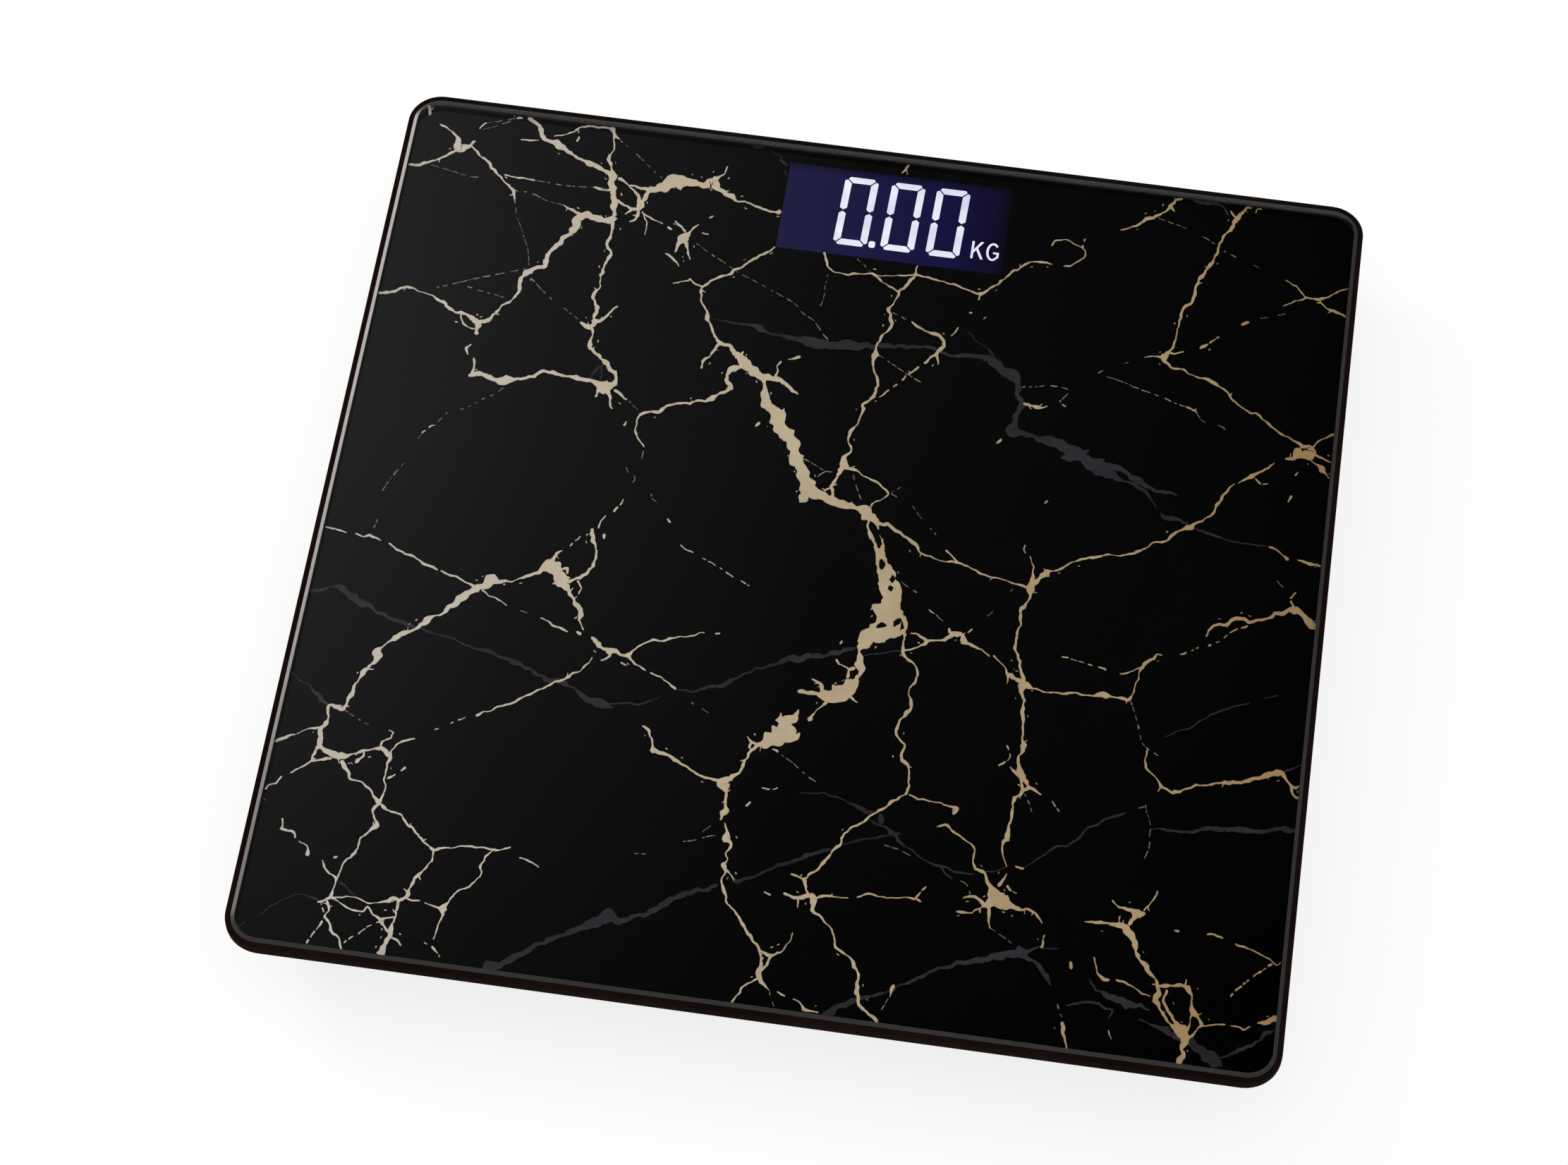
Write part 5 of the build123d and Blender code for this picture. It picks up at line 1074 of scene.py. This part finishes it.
def glass_material():
    """Clear float glass, faintly green in the mass, with hardly visible polish waves."""
    m = Look("clear_glass")
    m.colour(m.ramp(m.noise(4, 1), [(0.4, (0.985, 0.993, 0.99)), (0.6, (1, 1, 1))]))
    m.bump(m.noise(14, 1), 0.02, 0.0001)
    return m.set(Roughness=0.015, IOR=1.5, Transmission_Weight=1.0).material


def film_material():
    """Black marble ground with a slow cloudy drift."""
    m = Look("marble_black")
    cloud = m.noise(16, 5, rough=0.6)
    m.colour(m.ramp(cloud, [(0.35, grey(0.0003, 0.0001)), (0.6, grey(0.0006, 0.0001)),
                            (0.8, grey(0.0013, 0.0001))]))
    m.roughness(m.noise(80, 2), 0.45, 0.6)
    return m.set(Specular_IOR_Level=0.0).material


def gold_material():
    """Cream to gold mineral vein: paler on the left, deeper on the right, with a sandy grain."""
    m = Look("marble_gold")
    across = m.range(m.axis("X"), -0.138, 0.138, 0, 1)
    hue = m.ramp(across, [(0, srgb("f1e6d5")), (0.25, srgb("f0dec4")), (0.43, srgb("e6d2b1")),
                          (0.57, srgb("d8be98")), (0.73, srgb("d2b48c")), (0.87, srgb("caa97d")),
                          (1, srgb("bb986d"))])
    pale = m.ramp(across, [(0, srgb("fbf7f0")), (0.45, srgb("eedfc0")), (1, srgb("d4b284"))])
    hue = m.mix(m.range(m.noise(45, 4), 0.42, 0.68, 0, 0.75), hue, pale)
    grain = m.noise(1500, 4, rough=0.75)
    m.colour(m.mix(m.range(grain, 0.5, 0.8, 0, 0.35), hue, srgb("9c7d55")))
    m.roughness(grain, 0.5, 0.7)
    return m.set(Specular_IOR_Level=0.0).material


def grey_material(name, low, high):
    """Smoky mineral vein that fades in and out along its run."""
    m = Look(name)
    cloud = m.noise(55, 5, rough=0.65)
    grain = m.noise(900, 3, rough=0.7)
    hue = m.ramp(cloud, [(0.3, low), (0.65, high)])
    m.colour(m.mix(m.range(grain, 0.4, 0.75, 0, 0.35), hue, low))
    m.roughness(grain, 0.5, 0.7)
    return m.set(Specular_IOR_Level=0.0).material


def bevel_material():
    """Ground glass edge: dark satin with a frosted grain."""
    m = Look("ground_edge")
    grain = m.noise(260, 2)
    m.colour(m.tones(grain, (0.005, 0.0045, 0.0045), (0.009, 0.008, 0.008)))
    m.roughness(grain, 0.31, 0.35)
    return m.set(Specular_IOR_Level=0.45).material


def display_material():
    """Lit dark-blue window: brighter on the left, fading softly at the right and upper edges."""
    m = Look("display_blue")
    across = m.range(m.axis("X"), -0.0275, 0.0382, 0, 1)
    blue = m.ramp(across, [(0, srgb("1c1a41")), (0.4, srgb("181341")), (0.75, srgb("0e0c3c")),
                           (0.94, srgb("0a0329")), (1, srgb("03020c"))])
    m.glow(m.scaled(blue, m.range(m.axis("Y"), 0.1305, 0.1332, 1, 0.35)))
    m.colour(m.tones(m.noise(120, 3), grey(0.001, 0.001), grey(0.002, 0.002)))
    m.roughness(m.noise(60, 2), 0.4, 0.5)
    return m.set(Emission_Strength=1.0, Specular_IOR_Level=0.0).material


def digit_material():
    """Lit segments: cool white with a slight fall-off from segment to segment."""
    m = Look("display_white")
    m.glow(m.ramp(m.noise(90, 2), [(0.35, srgb("d8d6ee")), (0.65, srgb("f1f0fb"))]))
    m.colour(m.tones(m.noise(300, 2), grey(0.02, 0.01), grey(0.03, 0.01)))
    return m.set(Emission_Strength=1.08, Roughness=0.4, Specular_IOR_Level=0.0).material


def battery_material():
    """Plain cell sleeve: dark body, copper-coloured band at the positive end, bare metal ends."""
    m = Look("battery_sleeve")
    bare, copper, dark = srgb("b8b4ac"), srgb("b8743c"), srgb("17181a")
    bands = m.range(m.axis("X"), -0.0245, 0.0245, 0, 1)
    front = m.ramp(bands, [(0, bare), (0.03, copper), (0.3, dark), (0.97, bare)], "CONSTANT")
    rear = m.ramp(bands, [(0, bare), (0.05, dark), (0.7, copper), (0.96, bare)], "CONSTANT")
    which = m.range(m.axis("Y"), 0.0449, 0.0451, 0, 1)
    m.colour(m.mix(which, front, rear))
    m.roughness(m.noise(200, 3), 0.28, 0.4)
    m.bump(m.noise(700, 2), 0.03)
    return m.set(Metallic=0.35).material


def board_material():
    """Green solder mask with copper runs showing through and tinned pads."""
    m = Look("circuit_green")
    runs = m.texture("ShaderNodeTexBrick", m.place, Scale=160, Mortar_Size=0.03, Color1=srgb("0f4a2a"),
                     Color2=srgb("0c3f25"), Mortar=srgb("1b6a3c"))
    pads = m.range(m.noise(700, 1), 0.7, 0.74, 0, 1)
    m.colour(m.mix(pads, runs["Color"], srgb("b8b6a8")))
    m.roughness(pads, 0.35, 0.25, span=(0, 1))
    m.bump(runs["Fac"], 0.2, 0.00005)
    return m.set(Specular_IOR_Level=0.5).material


def wire_material():
    """Red wire sleeves, mottled a little along their length."""
    m = Look("wire_sleeves")
    cells = m.texture("ShaderNodeTexVoronoi", m.place, Scale=60)
    m.colour(m.ramp(cells["Distance"], [(0.2, srgb("8a1d18")), (0.8, srgb("b3322a"))]))
    m.roughness(m.noise(400, 2), 0.35, 0.5)
    return m.material


def clear_panel_material(name, low, high):
    """Frosted light guide with its dot screen."""
    m = Look(name)
    dots = m.texture("ShaderNodeTexVoronoi", m.place, Scale=900)
    m.colour(m.ramp(dots["Distance"], [(0.2, high), (0.6, low)]))
    m.roughness(m.noise(200, 2), 0.3, 0.45)
    return m.material


# Materials that more than one piece shares
FILM = film_material()
GLASS = glass_material()
# Battery door: same plastic as the tray, painted lighter like the tray's underside, as painted light against
# the shade it lies in
DOOR = moulded("door_moulded", (0.016, 0.0145, 0.014), (0.024, 0.022, 0.021), 1200, (0.5, 0.6), specular=0.25)
FOOT = moulded("foot_moulded", grey(0.02), grey(0.03), 1100, (0.42, 0.55))
BUTTON = moulded("button_moulded", grey(0.1, 0.005), grey(0.14, 0.005), 1800, (0.3, 0.4), specular=0.5)
FRAME = moulded("frame_moulded", grey(0.02, 0.002), grey(0.03))
RUBBER = rubber("pad_rubber", grey(0.055, 0.001), grey(0.085, 0.001))
FOAM = rubber("tape_foam", grey(0.02), grey(0.04), grain=1200, strength=0.6)
NICKEL = metal("contact_nickel", (0.6, 0.6, 0.57), (0.75, 0.74, 0.7), (1, 1, 12))
ZINC = metal("sensor_zinc", (0.42, 0.43, 0.43), (0.58, 0.58, 0.57), (14, 1, 1), rough=(0.32, 0.5))
SCREW = metal("screw_zinc", grey(0.3, 0.01), grey(0.46), (1, 1, 8), scale=1600)
CELL = battery_material()
WIRE = wire_material()

# What each solid wears, by its name or by how its name starts
LOOKS = {
    "glass_platform": GLASS,
    "marble_print": FILM,
    "bonding_tape": FOAM,
    "lcd_gasket": FOAM,
    "base_tray": tray_material(),
    "battery_door": DOOR,
    "unit_button": BUTTON,
    "unit_switch": FRAME,
    "switch_plunger": BUTTON,
    "display_frame": FRAME,
    "zebra_strip": rubber("strip_rubber", grey(0.08, 0.005), grey(0.3, 0.01), grain=4000),
    "battery_cell": CELL,
    "battery_leads": WIRE,
    "contact": NICKEL,
    "board_screws": SCREW,
    "ring_screws": SCREW,
    "strain_gauges": rubber("gauge_sealant", (0.62, 0.62, 0.58), (0.75, 0.75, 0.7), (0.4, 0.6), grain=700),
    "main_board": board_material(),
    "controller_chip": moulded("chip_epoxy", grey(0.006), grey(0.012), 200, (0.12, 0.2), 0.1, 0.5),
    "backlight_panel": clear_panel_material("light_guide", (0.6, 0.62, 0.66), (0.8, 0.82, 0.86)),
    "backlight_led": clear_panel_material("lamp_body", (0.7, 0.68, 0.55), (0.85, 0.84, 0.75)),
    "lcd_cell": clear_panel_material("cell_glass", (0.012, 0.012, 0.03), (0.02, 0.02, 0.045)),
    "load_cell": ZINC,
    "foot_pad": RUBBER,
    "foot": FOOT,
    "sensor_lead": WIRE,
}


def dress_solids():
    """Material on every solid; the longest start of its name that is listed decides."""
    for node_name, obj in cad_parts.items():
        start = max((key for key in LOOKS if node_name.startswith(key)), key=len)
        obj.data.materials.clear()
        obj.data.materials.append(LOOKS[start])


def printed_film():
    """Black film under the glass, open at the display window."""
    outline = rounded_square(print_high.x, PRINT_CORNER)
    left, right, front, rear = WINDOW
    hole = [(right, rear), (left, rear), (left, front), (right, front)]
    verts = [(x, y, level) for level in (print_low.z, FILM_TOP) for x, y in outline + hole]
    count, total = len(outline), len(outline) + len(hole)
    quarter = count // 4
    faces = []
    for foot in (0, total):
        for q in range(4):
            arc = [foot + (q * quarter + i) % count for i in range(quarter + 1)]
            ring = arc + [foot + count + (q + 1) % 4, foot + count + q]
            faces.append(tuple(ring) if foot else tuple(reversed(ring)))
    for i in range(count):
        j = (i + 1) % count
        faces.append((i, j, total + j, total + i))
    for i in range(count, total):
        j = count + (i + 1 - count) % 4
        faces.append((j, i, total + i, total + j))
    film = mesh_object("marble_film", verts, faces, FILM, slot="marble_print")
    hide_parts("marble_print")


def vein_layer(name, runs, level, material):
    """All veins of one kind as one layer of print."""
    edge = print_high.x - EDGE_MARGIN
    bands = []
    for i, run in enumerate(runs):
        moved = [(max(-edge, min(edge, x + VEIN_SHIFT.x)), max(-edge, min(edge, y + VEIN_SHIFT.y)), w)
                 for x, y, w in run]
        bands.append(ribbon(moved, level + i * LEVEL_STEP, i * SEED_STEP))
    mesh_object(name, *joined(bands), material, slot="marble_print")


def marble():
    """The veins of the print, from the finest hairlines to the pits in the gold."""
    hairs = [dash for run in HAIRLINES for dash in dashes(run)]
    pale_grey = grey_material("marble_hair", srgb("5e5952"), srgb("c6baa6"))
    dark_grey = grey_material("marble_grey", srgb("29282b"), srgb("413f45"))
    vein_layer("marble_hairlines", hairs, HAIR_LEVEL, pale_grey)
    vein_layer("marble_smoke", GREY_VEINS, SMOKE_LEVEL, dark_grey)
    vein_layer("marble_veins", broken(GOLD_VEINS) + offshoots(GOLD_VEINS), GOLD_LEVEL, gold_material())
    vein_layer("marble_pits", PITS, PIT_LEVEL, FILM)


def edge_loop(inset, z):
    """Outline of the glass drawn in by an inset, at one height."""
    return [(x, y, z) for x, y in rounded_square(glass_high.x - inset, GLASS_CORNER - inset, ARC_STEPS)]


def platform_slab():
    """Clear glass with a bevelled top edge, a hair inside the solid that it stands for."""
    inset, sunk = 0.01, 0.001
    loops = [edge_loop(inset, SLAB_FOOT), edge_loop(inset, glass_high.z - BEVEL_DROP),
             edge_loop(BEVEL_WIDTH, glass_high.z - sunk)]
    glass = mesh_object("platform_slab", *stacked_loops(loops), GLASS, slot="platform_glass", smooth=True)
    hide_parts("glass_platform")


def glass_bevel():
    """Ground skin that lies on the bevel of the glass."""
    clear, lift, inside, below = 0.004, 0.008, 0.03, 0.02
    bend, top = glass_high.z - BEVEL_DROP, glass_high.z
    loops = [edge_loop(clear, bend + lift), edge_loop(BEVEL_WIDTH + clear, top),
             edge_loop(BEVEL_WIDTH + clear, top - inside), edge_loop(inside, bend - below)]
    skin = stacked_loops(loops, closed=True)
    return mesh_object("glass_bevel", *skin, bevel_material(), slot="platform_glass", smooth=True)


# Display: the tinted film that fills the window, and the lit segments on it, in mm
FILTER_FOOT = print_low.z + 0.02
FILTER_TOP = print_high.z - 0.03
SEGMENT_FOOT = FILTER_TOP - 0.01
SEGMENT_TOP = FILTER_TOP + 0.02
DIGIT_LEFTS = (-11.4, 2.3, 15.5)
DIGIT_BASE = 106.65
DIGIT_HEIGHT = 24.0
DIGIT_WIDTH = 9.8
BAR = 2.05               # width of a segment
CUT = 1.4                # bevel at a digit's outer corners
GAP = 0.27               # between segments
LEAN = 0.03              # sideways for each mm of height
POINT_PLACE = (-0.1, DIGIT_BASE + 1.25)
POINT_HALF = (0.95, 1.15)
POINT_ROUND = 0.6        # under 1 the point is a rounded square
UNIT_BASE = 107.5
UNIT_HEIGHT = 6.05
STROKE = 0.68
K_LEFT = 28.55
G_MIDDLE = (34.8, UNIT_BASE + UNIT_HEIGHT / 2)
G_HALF = (1.9, 3.1)
G_ANGLES = range(42, 319, 12)        # degrees round the open ring


def display_filter():
    """Tinted film in the window of the print, lit from behind."""
    film = prism(rectangle(*WINDOW), FILTER_FOOT, FILTER_TOP)
    mesh_object("display_filter", *film, display_material(), slot="lcd_glass")


def segment(points, x=0.0, y=0.0, lean=0.0):
    """Flat lit shape with a small thickness, moved to a place and leaning with its height."""
    outline = [(x + px + lean * py, y + py) for px, py in points]
    return prism(outline, SEGMENT_FOOT, SEGMENT_TOP)


def nought(x):
    """Six lit bars of a seven-segment nought whose left edge is at x."""
    w, h = DIGIT_WIDTH, DIGIT_HEIGHT
    bar = [(CUT / 2 + GAP, h - CUT / 2), (BAR + GAP, h - BAR), (w - BAR - GAP, h - BAR),
           (w - CUT / 2 - GAP, h - CUT / 2), (w - CUT, h), (CUT, h)]
    post = [(0, h - CUT), (0, h / 2 + BAR / 2), (BAR / 2, h / 2 + GAP), (BAR, h / 2 + BAR / 2),
            (BAR, h - BAR - GAP), (CUT / 2, h - CUT / 2 - GAP)]
    bars = []
    for across in (False, True):
        for down in (False, True):
            for shape in [post] if across else [bar, post]:
                points = [(w - px if across else px, h - py if down else py) for px, py in shape]
                if across != down:
                    points.reverse()
                bars.append(segment(points, x, DIGIT_BASE, LEAN))
    return bars


def decimal_point():
    """Small rounded square between the first two digits."""
    angles = [math.pi / 10 * (i + 0.5) for i in range(20)]

    def bulge(value):
        return math.copysign(abs(value) ** POINT_ROUND, value)

    points = [(POINT_HALF[0] * bulge(math.cos(a)), POINT_HALF[1] * bulge(math.sin(a))) for a in angles]
    return segment(points, *POINT_PLACE)


def letter_k():
    """Stem, arm and leg of the unit's first letter."""
    h = UNIT_HEIGHT
    strokes = [rectangle(0, STROKE, 0, h),
               [(STROKE, 1.9), (3.4, h), (2.55, h), (STROKE, 3.1)],
               [(1.35, 3.15), (2.85, 0), (3.65, 0), (1.85, 3.8)]]
    return [segment(points, K_LEFT, UNIT_BASE) for points in strokes]


def letter_g():
    """Open ring of the unit's second letter, with its spur and its tongue."""
    (wide, tall), arc = G_HALF, [math.radians(a) for a in G_ANGLES]
    strokes = []
    for a, b in zip(arc, arc[1:]):
        outer = [(wide * math.cos(t), tall * math.sin(t)) for t in (a, b)]
        inner = [((wide - STROKE) * math.cos(t), (tall - STROKE) * math.sin(t)) for t in (b, a)]
        strokes.append(outer + inner)
    strokes += [rectangle(1.15, 1.8, -2.05, -0.05), rectangle(0.1, 1.15, -0.7, -0.05)]
    return [segment(points, *G_MIDDLE) for points in strokes]


def display_segments():
    """Everything that is lit on the tinted film."""
    lit = [bar for x in DIGIT_LEFTS for bar in nought(x)] + [decimal_point()] + letter_k() + letter_g()
    mesh_object("display_segments", *joined(lit), digit_material(), slot="lcd_glass")


def screw_recess_shade():
    """Painted shade of the cross recesses in the ring screws: dark crosses set into the heads, beside the
    front feet, and fore and aft of the rear ones.
    """
    reach, long, short, proud, depth = 20.8, 1.15, 0.3, 0.012, 0.2
    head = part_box("ring_screws")[0].z / MM
    crosses = []
    for end in ("front", "rear"):
        for hand in ("left", "right"):
            low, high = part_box(f"foot_{end}_{hand}")
            middle = (low + high) / 2 / MM
            for way in (-reach, reach):
                x, y = (middle.x + way, middle.y) if end == "front" else (middle.x, middle.y + way)
                for half_x, half_y in ((long, short), (short, long)):
                    bar = rectangle(x - half_x, x + half_x, y - half_y, y + half_y)
                    crosses.append(prism(bar, head - proud, head + depth))
    # Near-black crosses are painted shade, standing in for the hollows of the recesses
    dark = moulded("recess_painted_shade", grey(0.004), grey(0.008), rough=(0.6, 0.7))
    mesh_object("screw_recess_shade", *joined(crosses), dark, slot="screw_steel")


def raised_mark(points, rise):
    """Mark that stands down from the battery door's outer face, drawn in towards its own face."""
    draw_x, draw_y, sunk = 0.93, 0.86, 0.05
    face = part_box("battery_door")[0].z / MM
    middle = sum((Vector(p) for p in points), Vector((0, 0))) / len(points)
    inner = [(middle.x + (x - middle.x) * draw_x, middle.y + (y - middle.y) * draw_y, face - rise)
             for x, y in points]
    return stacked_loops([inner, [(x, y, face + sunk) for x, y in points]])


def door_grip():
    """Four grip ribs and an arrow on the battery door's tongue."""
    half, width, pitch, rise = 4.6, 0.6, 1.35, 0.35
    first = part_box("battery_door")[0].y / MM + 1.2
    ribs = [first + pitch * i for i in range(4)]
    marks = [raised_mark(rectangle(-half, half, y, y + width), rise) for y in ribs]
    arrow_half, arrow_foot, arrow_tip, arrow_rise = 3.2, first + 8.2, first + 12.2, 0.2
    arrow = [(-arrow_half, arrow_foot), (arrow_half, arrow_foot), (0, arrow_tip)]
    marks.append(raised_mark(arrow, arrow_rise))
    mesh_object("door_grip", *joined(marks), DOOR, body="battery_door", slot="tray_plastic")


def white_floor():
    """Floor: plain white to the eye, with the object's own shadow on it, and not there at all from below."""
    half, drop, white_share = 6, 0.0002, 0.8
    mesh = bpy.data.meshes.new("floor")
    mesh.from_pydata([(x, y, 0) for x, y in rectangle(-half, half, -half, half)], [], [(0, 1, 2, 3)])
    floor = bpy.data.objects.new("floor", mesh)
    bpy.context.scene.collection.objects.link(floor)
    floor.location.z = -drop
    f = Look("floor_white")
    f.colour(f.tones(f.noise(3, 2), grey(0.78), grey(0.8)))
    f.set(Roughness=0.9, Specular_IOR_Level=0.1)
    ray = f.add("ShaderNodeLightPath").outputs
    seen = f.number("MAXIMUM", ray["Is Camera Ray"], ray["Is Glossy Ray"])
    seen = f.number("MAXIMUM", seen, ray["Is Transmission Ray"])
    white = f.add("ShaderNodeEmission")
    f.feed(white.inputs["Color"], (1, 1, 1))
    share = f.number("MULTIPLY", seen, white_share)
    above = f.mix_shader(share, f.shader.outputs["BSDF"], white.outputs["Emission"])
    nothing = f.add("ShaderNodeBsdfTransparent").outputs["BSDF"]
    surface = f.mix_shader(f.add("ShaderNodeNewGeometry").outputs["Backfacing"], above, nothing)
    f.feed(f.tree.nodes["Material Output"].inputs["Surface"], surface)
    mesh.materials.append(f.material)


# World: a direction's parts run from -1 to 1, and strength 1 is white
ROOM = (1.2, 1.2, 1.2)
PANEL_WAY = Vector((-0.05, 0.5, 0.865)).normalized()
PANEL_RIM = (0.84, 0.96)             # how nearly a ray runs the panel's way at its rim, outside and inside
PANEL_ACROSS = (-0.2, 0.06)
PANEL_STOPS = [(0, (0.47, 0.462, 0.47)), (0.3, grey(0.186)), (0.55, grey(0.067)), (1, grey(0.016, 0.002))]
PANEL_FRONT = (0.4, 0.52, 0.36, 1)   # its front edge is dimmer
WALLS = (0.3, 0.75, 0.34, 0.62)      # mirrored walls are dimmer too, most so low down


def room():
    """Soft white room; what the glass mirrors of it is dimmer, with a dim ceiling panel at the back."""
    world = bpy.data.worlds.new("room")
    bpy.context.scene.world = world
    world.use_nodes = True
    w = Tree(world.node_tree)
    way = w.add("ShaderNodeTexCoord").outputs["Generated"]
    axes = w.axes(way)
    ray = w.add("ShaderNodeLightPath").outputs
    towards = w.add("ShaderNodeVectorMath", operation="DOT_PRODUCT")
    w.feed(towards.inputs[0], way)
    w.feed(towards.inputs[1], PANEL_WAY)
    in_panel = w.range(towards.outputs["Value"], *PANEL_RIM, 0, 1, "SMOOTHSTEP")
    panel = w.ramp(w.range(axes["X"], *PANEL_ACROSS, 0, 1), PANEL_STOPS)
    panel = w.scaled(panel, w.range(axes["Y"], *PANEL_FRONT))
    undiffused = w.number("SUBTRACT", 1.0, ray["Diffuse Depth"], clamp=True)
    colour = w.mix(w.number("MULTIPLY", in_panel, undiffused), ROOM, panel)
    mirrored = w.number("SUBTRACT", undiffused, ray["Is Camera Ray"], clamp=True)
    background = w.tree.nodes["Background"].inputs
    w.feed(background["Color"], w.mix(ray["Is Camera Ray"], colour, (1, 1, 1)))
    w.feed(background["Strength"], w.mix(mirrored, 1.0, w.range(axes["Z"], *WALLS), kind="VALUE"))


def softbox(name, place, size, power, lit=None):
    """Square area lamp that looks at the middle of the platform, or that lights one piece alone."""
    lamp = bpy.data.lights.new(name, "AREA")
    lamp.shape = "SQUARE"
    lamp.size = size
    lamp.energy = power
    lamp.color = (1, 0.93, 0.91)
    obj = bpy.data.objects.new(name, lamp)
    bpy.context.scene.collection.objects.link(obj)
    obj.location = place
    obj.rotation_euler = (Vector((0, 0, 0.02)) - Vector(place)).to_track_quat("-Z", "Y").to_euler()
    obj.visible_transmission = False
    if lit is None:
        obj.visible_glossy = False
    else:
        obj.light_linking.receiver_collection = bpy.data.collections.new(name + "_lit")
        obj.light_linking.receiver_collection.objects.link(lit)


# Camera, solved from the corners of the print: degrees, mm, and the lens for a sensor of 36 mm
AZIMUTH = math.radians(7.31)
ELEVATION = math.radians(59.52)
ROLL = math.radians(1.12)
DISTANCE = 1252.1
ASIDE = -9.92
UPWARD = -6.88
LENS = 104.08


def photo_camera():
    """Camera at the photograph's viewing angle."""
    level = math.cos(ELEVATION)
    back = Vector((math.sin(AZIMUTH) * level, -math.cos(AZIMUTH) * level, math.sin(ELEVATION)))
    across = Vector((math.cos(AZIMUTH), math.sin(AZIMUTH), 0))
    upright = back.cross(across)
    right_way = math.cos(ROLL) * across + math.sin(ROLL) * upright
    up_way = -math.sin(ROLL) * across + math.cos(ROLL) * upright
    middle = Vector((0, 0, glass_high.z))
    camera = bpy.data.cameras.new("camera")
    camera.sensor_fit = "HORIZONTAL"
    camera.sensor_width = 36
    camera.lens = LENS
    obj = bpy.data.objects.new("camera", camera)
    bpy.context.scene.collection.objects.link(obj)
    obj.matrix_world = Matrix((right_way, up_way, back)).transposed().to_4x4()
    obj.location = (right_way * ASIDE + up_way * UPWARD + back * DISTANCE + middle) * MM
    bpy.context.scene.camera = obj


dress_solids()
printed_film()
marble()
platform_slab()
bevel = glass_bevel()
display_filter()
display_segments()
screw_recess_shade()
door_grip()
white_floor()
room()
softbox("left_box", (-1.3, 0.8, 0.75), 0.7, 16)
softbox("edge_box", (-1.28, 0.95, 0.7), 0.7, 22, bevel)
photo_camera()
bpy.context.scene.view_settings.view_transform = "Standard"
